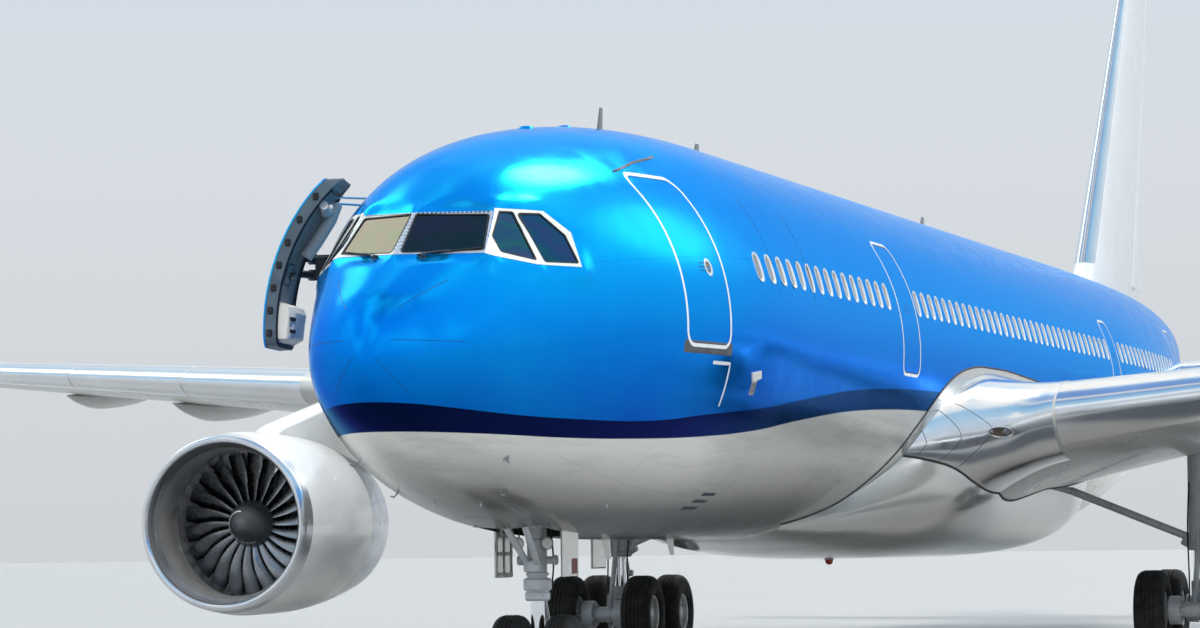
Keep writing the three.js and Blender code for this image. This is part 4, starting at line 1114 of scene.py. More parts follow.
# Wipers at rest along the lower edge of the windscreens, port side in the front view
WIPER_PIVOT = (0.3, 0.545)
WIPER_BLADE = [(0.24, 0.553), (0.45, 0.588), (0.66, 0.62), (0.87, 0.653)]
WIPER_ARM = [(WIPER_PIVOT, 0.042), ((0.42, 0.578), 0.045), ((0.56, 0.602), 0.03)]
# Lift and radius of the blade's holder and its rubber
WIPER_STRIPS = [(0.02, 0.009, 8), (0.008, 0.005, 6)]


def build_wipers():
    arms, blades = [], []
    for sign in (1, -1):
        def spot(place, lift):
            point, normal = on_nose(sign * place[0], place[1])
            return point + normal * lift

        pivot, top = spot(WIPER_PIVOT, 0), spot(WIPER_PIVOT, 0.05)
        arms += [rod(pivot, top, 0.026, 24), rod(pivot, spot(WIPER_PIVOT, 0.014), 0.045, 24)]
        arms.append(sweep([spot(*row) for row in WIPER_ARM], 0.009, 8))
        for lift, radius, sides in WIPER_STRIPS:
            blades.append(sweep([spot(place, lift) for place in WIPER_BLADE], radius, sides))
    make("wiper_arms", joined(arms), DARK_METAL)
    make("wiper_blades", joined(blades), BLACK)


# Cabin windows: a tall oval pane in a shallow recess, with a light surround

PANE_SIZE = (0.118, 0.172)
SURROUND_SIZE = (0.152, 0.21)
SURROUND_FLAT = 0.012
OVAL = 2.6
WINDOW_SIDES = 28


def oval(half_width, half_height):
    def reach(part):
        return np.sign(part) * np.abs(part) ** (2 / OVAL)

    turn = full_turn(WINDOW_SIDES)
    return np.stack([half_width * reach(np.cos(turn)), half_height * reach(np.sin(turn))], 1)


def window_stations():
    doors = [DOOR_1, *OTHER_DOORS]
    stations = np.arange(FIRST_WINDOW, LAST_WINDOW, WINDOW_PITCH)
    return [s for s in stations if all(s < d[0] - 0.3 or s > d[1] + 0.3 for d in doors)]


def window_lift(station, side):
    """A function that lays points of a cabin window's plane on the skin, lifted off it."""
    place, normal = (np.array(v) for v in on_side(station, WINDOW_HEIGHT, side))
    ahead, _ = on_side(station + 0.1, WINDOW_HEIGHT, side)
    along = np.array(ahead) - place
    along /= np.linalg.norm(along)
    up = np.cross(normal, along) * side
    up = up if up[2] > 0 else -up
    axes = np.stack([along, up])
    return lambda points, height: place + points @ axes + height * normal


def build_cabin_windows(skins):
    panes, surrounds, cutters = [], [], {}
    outer, inner = oval(*SURROUND_SIZE), oval(*PANE_SIZE)
    middle = oval(*(size - SURROUND_FLAT for size in SURROUND_SIZE))
    profile = (outer, -0.005), (outer, 0.0025), (middle, 0.0025), (inner, -0.014), (inner, -0.03)
    for station in window_stations():
        section = next(name for name, (start, end) in JOINTS.items() if start <= station < end)
        for side in (1, -1):
            lift = window_lift(station, side)
            cutters.setdefault(section, []).append(flat_plate(outer * 0.985, lift, -0.035, 0.1))
            surrounds.append(loft([lift(points, height) for points, height in profile], caps=False))
            panes.append(flat_plate(inner * 1.01, lift, -0.032, -0.02))
    for section, shapes in cutters.items():
        carved(skins[section], joined(shapes))
    make("cabin_window_surrounds", joined(surrounds), SURROUND)
    make("cabin_window_panes", joined(panes), PANE)


# Doors, panels and small fittings on the skin

OUTLINE_WIDTH = 0.046


def port(station, height):
    return on_side(station, height, 1)


def starboard(station, height):
    return on_side(station, height, -1)


PLATE_STEPS = (0.985, 0.6, 0.25, 0.02)


def plate(path, land, lift=0.003):
    """A thin plate laid on the skin inside a 2D outline."""
    points = np.array(refined(path, PLATE_PITCH, True))
    middle = points.mean(0)
    rings = []
    for share, height in ((0.98, -0.012), (1, lift * 0.4), *[(share, lift) for share in PLATE_STEPS]):
        ring = []
        for p in middle + (points - middle) * share:
            place, normal = land(*p)
            ring.append(place + normal * height)
        rings.append(ring)
    return loft(rings)


def line(points, width, land, lift=0.0016):
    return band(points, width, land, lift=lift, sink=0.006, loop=False)


def painted(path, width, land):
    """A broad painted outline."""
    return band(path, width, land, lift=0.002, sink=0.008)


def scribed(path, width, land):
    """A thin dark outline."""
    return band(path, width, land, lift=0.0014, sink=0.006)


def build_door_marks():
    middle_line = GAP + OUTLINE_WIDTH / 2
    white, dark = [painted(door_path(DOOR_1, middle_line), OUTLINE_WIDTH, port)], []
    for land in (port, starboard):
        for door in OTHER_DOORS:
            white.append(painted(door_path(door, middle_line), OUTLINE_WIDTH, land))
            dark.append(scribed(door_path(door, 0.004), 0.014, land))
            middle = (door[0] + door[1]) / 2
            handle = (middle - 0.13, middle + 0.13, door[2] + 0.92, door[2] + 1.02)
            dark.append(scribed(rounded(*handle, 0.03), 0.008, land))
    front, rear, bottom, _ = DOOR_1
    dark.append(scribed(rounded(6.02, 6.3, 0.6, 0.7, 0.03), 0.01, port))
    dark.append(line([(6.06, 0.65), (6.26, 0.65)], 0.014, port))
    for name, start in CARGO_DOORS.items():
        latches = []
        for k in range(1, 6):
            s, h = start + CARGO_WIDTH * k / 6, CARGO_BOTTOM + 0.1
            latches.append(scribed(rounded(s - 0.06, s + 0.06, h - 0.03, h + 0.05, 0.015), 0.008, starboard))
        make(name + "_latches", joined(latches), DARK_LINE, body=name)
        edges = (start - 0.05, start + CARGO_WIDTH + 0.05, CARGO_BOTTOM - 0.05, CARGO_TOP + 0.11)
        white.append(painted(rounded(*edges, 0.1), 0.04, starboard))
    white.append(line([(6.24, -0.575), (6.79, -0.575), (6.79, -1.12)], 0.045, port, lift=0.002))
    make("door_outlines", joined(white), WHITE_LINE)
    make("door_gaps", joined(dark), DARK_LINE)
    sill = rounded(front - 0.12, rear + 0.11, bottom - 0.14, bottom + 0.02, 0.02)
    make("sill_scuff_plate", plate(sill, port, lift=0.001), DARK_METAL)


DOOR_PORTHOLE = (6.274, 0.651)
# Half width, half height and lift of each ring around the pane, and of the pane
PORTHOLE_RIM = [
    (0.105, 0.115, -0.01), (0.105, 0.115, 0.005), (0.098, 0.108, 0.007),
    (0.07, 0.08, 0.003), (0.07, 0.08, -0.01),
]
PORTHOLE_PANE = [(0.072, 0.082, -0.01), (0.072, 0.082, 0.001)]


def build_porthole(centre, land, name, push=(0, 0, 0)):
    station, height = centre

    def ring(half_width, half_height, lift_by):
        points = []
        for t in full_turn(28):
            place, normal = land(station + half_width * math.cos(t), height + half_height * math.sin(t))
            points.append(np.array(place + normal * lift_by) + push)
        return points

    make(name + "_ring", loft([ring(*row) for row in PORTHOLE_RIM], caps=False), SURROUND)
    make(name + "_pane", loft([ring(*row) for row in PORTHOLE_PANE]), PANE)


PROBE_LENGTH, PROBE_HEIGHT, PROBE_RADIUS = 0.16, 0.09, 0.009


def probe(place, normal, way):
    """A pressure probe: a strut off the skin and a tube that points ahead."""
    knee = place + normal * PROBE_HEIGHT
    strut = [place - normal * 0.01, place + normal * 0.05 + way * 0.01]
    return [
        sweep([*strut, knee + way * 0.03, knee + way * PROBE_LENGTH], PROBE_RADIUS, 10),
        rod(place - normal * 0.004, place + normal * 0.006, 0.05, 20),
    ]


def blade_antenna(station, length, height, top=True):
    """A swept blade on the centre line, above or below the fuselage."""
    place, _ = (on_top if top else on_belly)(0, station)
    sign = 1 if top else -1
    rings = []
    for share in np.linspace(0, 1, 6):
        chord = length * (1 - 0.45 * share)
        start = station + 0.55 * length * share
        ring = []
        for t in full_turn(16):
            along = start + chord * (0.5 - 0.5 * math.cos(t))
            across = 0.055 * length * (1 - 0.6 * share) * math.sin(t)
            ring.append((across, along, place.z + sign * (height * share - 0.03)))
        rings.append(ring)
    return loft(rings)


# Lightning strips on the radome, port side in the front view: side and height of both ends
DIVERTERS = [((0.32, -0.11), (0.69, 0.25)), ((0.3, -0.49), (0.97, -0.5)), ((0.13, -0.68), (0.46, -1.11))]


# Small fittings on the centre line: station, length and height of the blades above and below
BLADES_ABOVE = [(9.62, 0.3, 0.39), (14.6, 0.4, 0.3), (30.5, 0.45, 0.33)]
BLADES_BELOW = [(9.6, 0.45, 0.3), (12.9, 0.4, 0.26), (37.2, 0.45, 0.3)]
TOP_COVERS = (6.4, 8.1)
TOP_COVER = [(-0.04, 0.1), (0.0, 0.1), (0.022, 0.075), (0.03, 0.03)]
BEACON_FOOT = [(-0.03, 0.09), (0.01, 0.09), (0.016, 0.075)]
BEACON_LAMP = [(0.0, 0.07), (0.06, 0.062), (0.09, 0.04), (0.1, 0.01)]
BEACON_ABOVE, BEACON_BELOW, FAIRING_BOTTOM = 21.4, 23.0, -3.16
# Side and height of the probes, side and station of the drains
PROBES = [(0.94, -1.84), (0.68, -2.2)]
DRAINS = [(-0.26, 3.29), (0.31, 3.38), (1.21, 5.77), (-0.7, 3.2)]
EYEBROW = [(5.33, 1.84), (6.2, 2.03), (7.15, 2.18)]
TAIL_PIPE_HEIGHT = 1.6


def build_probes_and_beacons():
    metal, red = [], []
    for side, height in PROBES:
        for sign in (1, -1):
            metal += probe(*on_nose(side * sign, height), Vector((0, -1, 0.1)))
    for side, station in DRAINS:
        place, normal = on_belly(side, station)
        metal.append(rod(place - normal * 0.02, place + normal * 0.05, 0.02, 16, 0.012))
    below = Vector((0, BEACON_BELOW, FAIRING_BOTTOM)), Vector((0, 0, -1))
    for place, normal in (on_top(0, BEACON_ABOVE), below):
        metal.append(turned(BEACON_FOOT, place, place + normal, 32))
        red.append(turned(BEACON_LAMP, place, place + normal, 32))
    metal.append(plate([(7.73, -0.95), (7.93, -0.95), (7.93, -0.75), (7.73, -0.75)], port))
    pipe = [(0, 0.24), (0, 0.27), (0.1, 0.26), (0.1, 0.24)]
    metal.append(ring_turned(pipe, (0, 57.55, TAIL_PIPE_HEIGHT), (0, 58, TAIL_PIPE_HEIGHT), 40))
    make("probes", joined(metal), STEEL)
    make("beacons", joined(red), BEACON)


def build_skin_details():
    dark, strips = [], []
    for sign, land in ((1, port), (-1, starboard)):
        dark.append(band(rounded(7.78, 7.88, -0.9, -0.8, 0.04), 0.008, land, lift=0.005, sink=0.002))
        dark.append(line(EYEBROW, 0.022, land, lift=0.006))
        dark += [line([(s, 1.72), (s, 0.45)], 0.006, land) for s in (8.833, 10.8)]
        for a, b in DIVERTERS:
            strips.append(line([(sign * a[0], a[1]), (sign * b[0], b[1])], 0.009, on_nose, lift=0.003))
    for k in range(3):
        drain = rounded(8.6 + 0.02 * k, 9.25, -2.43 + 0.09 * k, -2.39 + 0.09 * k, 0.018)
        dark.append(plate(drain, port, lift=0.002))
    dark.append(rod((0, 57.5, TAIL_PIPE_HEIGHT), (0, 57.66, TAIL_PIPE_HEIGHT), 0.24, 40))
    make("diverter_strips", joined(strips), STRIP)
    make("skin_details", joined(dark), DARK_LINE)


def build_fittings():
    blue = []
    for station in TOP_COVERS:
        place, normal = on_top(0, station)
        blue.append(turned(TOP_COVER, place, place + normal, 32))
    white = [blade_antenna(*row, top=False) for row in BLADES_BELOW]
    white.append(plate([(7.62, -0.66), (7.98, -0.62), (8.05, -0.72), (7.72, -0.78)], port, lift=0.02))
    make("antennas_and_covers", joined(white), WHITE)
    make("blade_antennas", joined([blade_antenna(*row) for row in BLADES_ABOVE]), SPINNER_GREY)
    make("top_covers", joined(blue), FUSELAGE)
    build_probes_and_beacons()
    build_skin_details()


OPEN_PUSH = np.array((-OPEN_OUTWARD, -OPEN_FORWARD, 0))
DOOR_MIDDLE = (DOOR_1[0] + DOOR_1[1]) / 2
DOOR_WAIST = (DOOR_1[2] + DOOR_1[3]) / 2
# Height above the pack's foot, depth and how far the ends step in
SLIDE_PACK = [(0, 0.1, 0.06), (0.05, 0.2, 0.01), (0.42, 0.24, 0), (0.5, 0.2, 0.02), (0.54, 0.1, 0.08)]
PACK_FOOT, PACK_HALF, PACK_BACK = 0.06, 0.5, 0.14
HANDLE_HEIGHT = 0.65


def open_door_point(station, height, depth):
    """A point at a depth below the door's own skin, moved with the open door."""
    place, normal = starboard(station, height)
    return Vector(np.array(place - normal * depth) + OPEN_PUSH)


def open_door_layer(inset):
    stations = np.linspace(DOOR_1[0] - 0.2, DOOR_1[1] + 0.2, 24)
    return loft([ring_at(station, inset, 96) for station in stations])


def open_door_panel(name, grow, outer, inner, material, hole=None, replaces=(), slot=None):
    """A layer of the open door between two depths below its skin."""
    obj = make(name, open_door_layer(outer), material, replaces=replaces, slot=slot)
    carved(obj, prism(door_path(DOOR_1, grow), -3.4, -0.9), "INTERSECT")
    carved(obj, open_door_layer(inner))
    if hole:
        carved(obj, prism(hole, -3.5, -0.8))
    obj.data.transform(Matrix.Translation(Vector(OPEN_PUSH) * SCALE))
    shade(obj.data)


def build_slide_pack():
    """The soft pack at the foot of the door, with two black boxes in its front as painted shade of two slots.
    """
    low, rings = DOOR_1[2] + PACK_FOOT, []
    for rise, deep, inset in SLIDE_PACK:
        height, half = low + rise, PACK_HALF - inset
        ring = [
            open_door_point(DOOR_MIDDLE + share * half, height, 0.15 + deep * (1 - 0.35 * share**8))
            for share in np.linspace(-1, 1, 13)
        ]
        ring += [open_door_point(DOOR_MIDDLE + s * half, height, PACK_BACK) for s in (1, -1)]
        rings.append(ring)
    make("open_door_slide_pack", loft(rings), DOOR_COVER)
    # Painted shade: thin black boxes stand for two slots in the pack's front
    places = [open_door_point(DOOR_1[0] + 0.14, low + 0.15 + 0.17 * k, 0.36) for k in range(2)]
    slots = [box(place, (0.012, 0.2, 0.05), 0.004) for place in places]
    make("open_door_pack_slots", joined(slots), BLACK)


def build_door_handle():
    middle, height = DOOR_MIDDLE, HANDLE_HEIGHT
    grip = [(middle, height, 0.21), (middle - 0.1, height - 0.01, 0.22), (middle - 0.26, height - 0.05, 0.22)]
    make("open_door_handle", joined([
        rod(open_door_point(middle, height, 0.14), open_door_point(middle, height, 0.22), 0.05, 24),
        sweep([open_door_point(*place) for place in grip], 0.016, 10),
    ]), DARK_METAL)

    def inside(station, height):
        return open_door_point(station, height, 0.156), Vector((1, 0, 0))

    edge = rounded(middle - 0.32, middle + 0.12, 0.52, 0.8, 0.05)
    make("open_door_handle_box", band(edge, 0.015, inside, lift=0.002, sink=0.004), DARK_LINE)


def build_hinge_arm():
    """The arm that carries the door, the post that it turns on, and the covers and rods beside it."""
    front, rear, bottom, top = DOOR_1
    post_side, post_station = -outline(front)[0] + 0.32, front + 0.25
    arm_low, arm_high = DOOR_WAIST - 0.06, DOOR_WAIST + 0.15
    panel_side = -outline(DOOR_MIDDLE)[0] - OPEN_OUTWARD + 0.15
    casting = []
    for height in (arm_low, arm_high):
        a = Vector((panel_side - 0.04, rear - OPEN_FORWARD - 0.3, height))
        b = Vector((panel_side + 0.06, post_station, height))
        c = Vector((post_side, post_station, height))
        boss = Vector((0, 0, 0.07))
        casting.append(rod(a, b, 0.05, 20))
        casting.append(rod(b - Vector((0.06, 0, 0)), c, 0.055, 20))
        casting.append(rod(b - boss, b + boss, 0.062, 24))
    height = (arm_low + arm_high) / 2
    casting.append(box((panel_side + 0.35, post_station - 0.02, height), (0.5, 0.07, 0.3), 0.03))
    foot = (panel_side + 0.02, rear - OPEN_FORWARD - 0.42, height)
    casting.append(box(foot, (0.12, 0.34, 0.36), 0.04))
    make("open_door_hinge_arm", joined(casting), ARM_METAL)
    post = (post_side, post_station, bottom - 0.0132), (post_side, post_station, DOOR_WAIST + 0.26)
    make("open_door_post", rod(*post, 0.07, 32), STEEL)
    point = open_door_point
    rods = [
        rod(point(rear - 0.2, top - 0.1, 0.1), (-1.66, front + 0.35, top - 0.16), 0.018, 16),
        rod(point(rear - 0.25, top - 0.17, 0.12), (-1.64, front + 0.33, top - 0.26), 0.018, 16),
        rod(point(rear - 0.32, top - 0.18, 0.19), point(rear + 0.02, top - 0.18, 0.12), 0.035, 20),
    ]
    make("open_door_guide_rods", joined(rods), CHROME)
    sleeve = [
        (front + 0.12, top - 0.2, 0.22), (DOOR_MIDDLE, top - 0.26, 0.23), (rear - 0.15, top - 0.22, 0.22),
    ]
    make("open_door_top_sleeve", sweep([point(*place) for place in sleeve], 0.055, 16), DOOR_COVER)
    cover = [
        (rear - 0.16, top - 0.13, 0.2), (rear - 0.24, top - 0.3, 0.27),
        (rear - 0.34, top - 0.6, 0.28), (rear - 0.4, top - 0.85, 0.24),
    ]
    make("open_door_arm_cover", sweep([point(*place) for place in cover], 0.085, 20), DOOR_COVER)


def build_open_door():
    """Passenger door 1 on the starboard side, swung out and forward on its arm."""
    front, rear, bottom, top = DOOR_1
    open_door_panel(
        "open_door_skin", 0, 0, 0.022, FUSELAGE_FIXED,
        replaces=["passenger_door_1_right"], slot="fuselage_paint",
    )
    hollow = rounded(front + 0.07, rear - 0.07, bottom + 0.07, top - 0.07, 0.1)
    open_door_panel("open_door_frame", -0.006, 0.02, 0.17, DOOR_METAL, hole=hollow)
    open_door_panel("open_door_lining", -0.05, 0.13, 0.155, DOOR_LINER)
    path = refined(door_path(DOOR_1, -0.03), 0.08, True)
    seal = [open_door_point(*place, 0.165) for place in path]
    make("open_door_seal", sweep([*seal, seal[0]], 0.022, 10), BLACK)
    stops = []
    for edge in (front - 0.012, rear + 0.012):
        for k in range(7):
            height = bottom + 0.18 + k * (top - bottom - 0.36) / 6
            stops.append(box(open_door_point(edge, height, 0.085), (0.075, 0.05, 0.09), 0.012))
    make("open_door_stops", joined(stops), BLACK)
    build_slide_pack()
    build_door_handle()
    build_hinge_arm()
    build_porthole(DOOR_PORTHOLE, starboard, "open_door_porthole", push=OPEN_PUSH)


WALL, WALL_BEVEL = 0.02, 0.004


def doorway_walls(x_low, x_high, front, rear, low, high):
    """The lining behind the open doorway: its back, ends, ceiling and floor, as separate pieces."""
    x, y, z = (x_low + x_high) / 2, (front + rear) / 2, (low + high) / 2
    wide, long, tall = x_high - x_low, rear - front, high - low
    half = WALL / 2
    back = box((x_high - half, y, z), (WALL, long, tall), WALL_BEVEL)
    ends = [box((x, s, z), (wide, WALL, tall), WALL_BEVEL) for s in (front + half, rear - half)]
    return [
        make("doorway_back", back, LINING),
        make("doorway_ends", joined(ends), LINING),
        make("doorway_ceiling", box((x, y, high - half), (wide, long, WALL), WALL_BEVEL), LINING),
        make("doorway_floor", box((x, y, low + half), (wide, long, WALL), WALL_BEVEL), CABIN_FLOOR),
    ]


LINING_DEPTH = 0.05


def inside_fuselage(start, end):
    """The closed space within the fuselage's skin between two stations."""
    return loft([ring_at(s, LINING_DEPTH, 96) for s in np.linspace(start, end, 16)])


GALLEY_ROWS, GALLEY_COLUMNS = 5, 3


def galley(front, rear, low, high):
    """A galley unit with rows of box fronts, and their handles."""
    tall = high - low - 0.15
    size = (0.11, rear - front - 0.1, tall)
    units, handles = [box((-1.2, (front + rear) / 2, low + 0.06 + tall / 2), size, 0.01)], []
    width, height = (rear - front - 0.2) / GALLEY_COLUMNS, (tall - 0.12) / GALLEY_ROWS
    for row in range(GALLEY_ROWS):
        for col in range(GALLEY_COLUMNS):
            y, z = front + 0.1 + width * (col + 0.5), low + 0.12 + height * (row + 0.5)
            units.append(box((-1.262, y, z), (0.02, width - 0.02, height - 0.02), 0.006))
            handles.append(box((-1.28, y, z + height * 0.32), (0.02, 0.12, 0.02), 0.004))
    return units, handles


def build_doorway():
    """What is seen through the open starboard doorway: floor, ceiling and a galley unit."""
    front, rear, bottom, top = DOOR_1
    space = inside_fuselage(front - 0.3, rear + 0.3)
    low, high = bottom - GAP, top + GAP
    pieces = doorway_walls(-2.3, -1.125, front - GAP, rear + GAP, low, high)
    units, handles = galley(front, rear, low, high)
    pieces.append(make("galley_unit", joined(units), GALLEY))
    pieces.append(make("galley_handles", joined(handles), STEEL))
    bar = rod((-2.1, front + 0.05, low + 0.05), (-2.1, front + 0.05, low + 1.2), 0.02, 12)
    pieces.append(make("doorway_assist_bar", bar, STEEL))
    sill = box((-2.0, (front + rear) / 2, low + 0.025), (0.6, rear - front, 0.02), 0.004)
    pieces.append(make("doorway_sill", sill, DARK_METAL))
    for part in pieces:
        shade(carved(part, space, "INTERSECT").data)


# The nose gear's bay: front, rear, half width and roof
NOSE_BAY = (5.35, 7.05, 0.43, -2.05)
NOSE_BAY_DEPTH, NOSE_BAY_WALL, NOSE_BAY_RIBS = 0.6, 0.016, 6
HOLD_WALL = -1.0
HOLD_ROLLERS = 13


def build_nose_bay():
    front, rear, half, roof = NOSE_BAY
    middle, long, wall = (front + rear) / 2, rear - front, NOSE_BAY_WALL
    deep, level = NOSE_BAY_DEPTH, roof - NOSE_BAY_DEPTH / 2
    walls = [box((0, middle, roof - wall / 2), (2 * half, long, wall), 0.003)]
    walls += [box((s * (half - wall / 2), middle, level), (wall, long, deep), 0.003) for s in (-1, 1)]
    walls += [
        box((0, y, level), (2 * half, wall, deep), 0.003) for y in (front + wall / 2, rear - wall / 2)
    ]
    make("nose_bay_lining", joined(walls), BAY_PAINT)
    places = [front + 0.2 + 0.26 * k for k in range(NOSE_BAY_RIBS)]
    ribs = [box((0, y, roof - 0.035), (2 * half - 0.04, 0.03, 0.05), 0.006) for y in places]
    for side in (0.035 - half, half - 0.035):
        ribs += [box((side, y, roof - 0.28), (0.04, 0.03, 0.46), 0.006) for y in places]
    make("nose_bay_ribs", joined(ribs), BAY_PAINT)
    pipes = []
    for s in (-1, 1):
        ends = (s * 0.36, front + 0.1, roof - 0.12), (s * 0.36, rear - 0.1, roof - 0.12)
        pipes.append(hose([ends[0], (s * 0.37, 6.2, roof - 0.14), ends[1]], 0.014))
    make("nose_bay_pipes", joined(pipes), STEEL)


def build_hold(name, start):
    low, high = CARGO_BOTTOM - GAP, CARGO_TOP + 0.06
    middle, long = start + CARGO_WIDTH / 2, CARGO_WIDTH + 2 * GAP
    wall = box((HOLD_WALL - 0.01, middle, (low + high) / 2), (0.02, long, high - low), 0.003)
    make(name + "_hold_wall", wall, LINING)
    floor = box(((HOLD_WALL - 1.7) / 2, middle, low + 0.01), (0.9, long, 0.02), 0.003)
    make(name + "_hold_floor", floor, STEEL)
    rollers = []
    for k in range(HOLD_ROLLERS):
        station, height = start + 0.15 + 0.2 * k, low + 0.045
        rollers.append(rod((-1.65, station, height), (-1.05, station, height), 0.022, 14))
    make(name + "_hold_rollers", joined(rollers), CHROME)


def build_bays():
    """Linings and ribs of the nose gear bay and of both cargo holds behind their doors."""
    build_nose_bay()
    for name, start in CARGO_DOORS.items():
        build_hold(name, start)


WICK_SPANS = (22.0, 24.0, 26.0, 27.5)
TIP_LIGHT_SPANS = (28.35, 28.5, 28.65)
HATCH_SPANS = np.arange(10.4, 27.5, 1.35)
HATCH_RIM = [(1, 0.0015), (0.93, 0.0015), (0.93, -0.004), (1, -0.004)]


def tank_hatch(span):
    """The thin oval rim of a hatch under the wing."""
    row = section_at(WING, span)
    rings = []
    for t in full_turn(24):
        ring = []
        for size, lift in HATCH_RIM:
            chord = 0.36 + size * 0.2 * math.sin(t) / row[3]
            near = section_at(WING, span + size * 0.13 * math.cos(t))
            ring.append(surface_point(near, chord, -half_depth(near, chord) - lift))
        rings.append(ring)
    return loft([*rings, rings[0]], caps=False)


def build_wing_fittings():
    """Tip lights, static wicks and fuel panels."""
    fronts = [surface_point(section_at(WING, s), 0.0, 0.0) for s in TIP_LIGHT_SPANS]
    lamp = sweep([place + (0, -0.004, 0) for place in fronts], 0.03, 10)
    make("navigation_light_port", lamp, BEACON)
    make("navigation_light_starboard", mirrored(lamp), GREEN_LAMP)
    rears = [surface_point(section_at(WING, s), 1, 0) for s in WICK_SPANS]
    wicks = [rod(place - (0, 0.03, 0), place + (0, 0.14, -0.01), 0.006, 6) for place in rears]
    make_pair("static_wicks", joined(wicks), BLACK, body="aileron")
    make_pair("tank_hatches", joined([tank_hatch(span) for span in HATCH_SPANS]), SEAM_GREY)


# Lifting surfaces. Columns: distance from the centre line (height for the fin), leading edge
# station and height, chord, thickness to chord, nose-up twist and cant in degrees
WING = [
    (1.7, 19.9, -1.12, 11.0, 0.15, 4.5, 0),
    (2.82, 20.6, -1.0, 10.5, 0.148, 4.2, 0),
    (9.9, 25.025, 0, 7.3, 0.118, 1.2, 0),
    (18.7, 30.53, 0.64, 4.85, 0.11, 0, 0),
    (28.9, 36.9, 1.48, 2.35, 0.105, -1.5, 0),
    (29.4, 37.38, 1.64, 2.05, 0.1, -1.5, 30),
    (29.72, 37.9, 2.08, 1.7, 0.09, 0, 62),
    (30.13, 39.3, 3.95, 0.7, 0.08, 0, 66),
]
WING_STRAIGHT = 4
FIN = [
    (2.35, 46.3, 0, 9.0, 0.1, 0, 0),
    (3.3, 47.6, 0, 8.05, 0.1, 0, 0),
    (12.0, 55.35, 0, 3.16, 0.09, 0, 0),
    (12.55, 56.25, 0, 2.4, 0.05, 0, 0),
]
STABILISER = [
    (0.3, 50.43, 0.83, 6.2, 0.1, 0, 0),
    (1.2, 51.04, 0.925, 5.84, 0.1, 0, 0),
    (9.4, 56.57, 1.79, 2.18, 0.09, 0, 0),
    (9.7, 57.12, 1.82, 1.7, 0.06, 0, 0),
]
FIT = 0.0008
AILERON = dict(start=20.9, end=28.5, hinge=0.75, gap=0.014, end_gaps=(0.036, 0.04))
INNER_FLAP = dict(start=3.9, end=9.85, hinge=0.8, gap=FIT, end_gaps=(FIT, FIT), pins=False)
OUTER_FLAP = dict(start=9.87, end=20.7, hinge=0.76, gap=FIT, end_gaps=(FIT, FIT), pins=False)
RUDDER = dict(start=3.05, end=11.8, hinge=0.7, gap=0.038, end_gaps=(0.092, 0.096), upright=True)
ELEVATOR = dict(start=2.25, end=9.25, hinge=0.72, gap=0.014, end_gaps=(0.042, 0.042))
SPOILER = dict(start=10.3, end=20.3, hinge=0.6, back=0.715, thick=0.07, gap=0.028)
END_GAP = 0.014
PIN_SIDES = 20
CHORD = (1 - np.cos(np.linspace(0, math.pi, 31)[1:])) / 2


def section_at(table, span):
    table = np.array(table, float)
    i = int(np.clip(np.searchsorted(table[:, 0], span) - 1, 0, len(table) - 2))
    t = (span - table[i, 0]) / (table[i + 1, 0] - table[i, 0])
    return table[i] + t * (table[i + 1] - table[i])


def half_thickness(t):
    return 5 * (0.2969 * np.sqrt(t) - 0.126 * t - 0.3516 * t**2 + 0.2843 * t**3 - 0.1015 * t**4)


def half_depth(row, t):
    return row[3] * row[4] * half_thickness(t)


def surface_point(row, t, offset, upright=False):
    """A point of a section, from its chord fraction and its offset from the chord line."""
    span, station, height, chord, _, twist, cant = row
    turn, lean = math.radians(twist), math.radians(cant)
    along = t * chord * math.cos(turn) + offset * math.sin(turn)
    up = offset * math.cos(turn) - t * chord * math.sin(turn)
    if upright:
        return np.array([offset, station + along, span])
    return np.array([span - up * math.sin(lean), station + along, height + up * math.cos(lean)])


ROW_PITCH = 0.6


def dense(table, straight=None):
    """The rows of a table with others between; past the straight ones they run in a curve."""
    table = np.array(table, float)
    last = len(table) - 1 if straight is None else straight
    rows = [table[0]]
    for a, b in zip(table[:last], table[1:last + 1]):
        count = max(1, math.ceil((b[0] - a[0]) / ROW_PITCH))
        rows.extend(a + (b - a) * k / count for k in range(1, count + 1))
    if straight is not None:
        bend = table[last:]
        steps = np.linalg.norm(np.diff(bend[:, [0, 2]], axis=0), axis=1)
        way = np.concatenate([[0], np.cumsum(steps)])
        slope = (table[last] - table[last - 1]) / (table[last, 0] - table[last - 1, 0])
        curves = [spline(way, bend[:, k], start=slope[k]) for k in range(bend.shape[1])]
        rows.extend(np.array([c(s) for c in curves]) for s in np.linspace(0, way[-1], 25)[1:])
    return rows


def section_ring(row, upright=False):
    upper = [surface_point(row, t, half_depth(row, t), upright) for t in CHORD[::-1]]
    lower = [surface_point(row, t, -half_depth(row, t), upright) for t in CHORD]
    return [*upper, surface_point(row, 0, 0, upright), *lower]


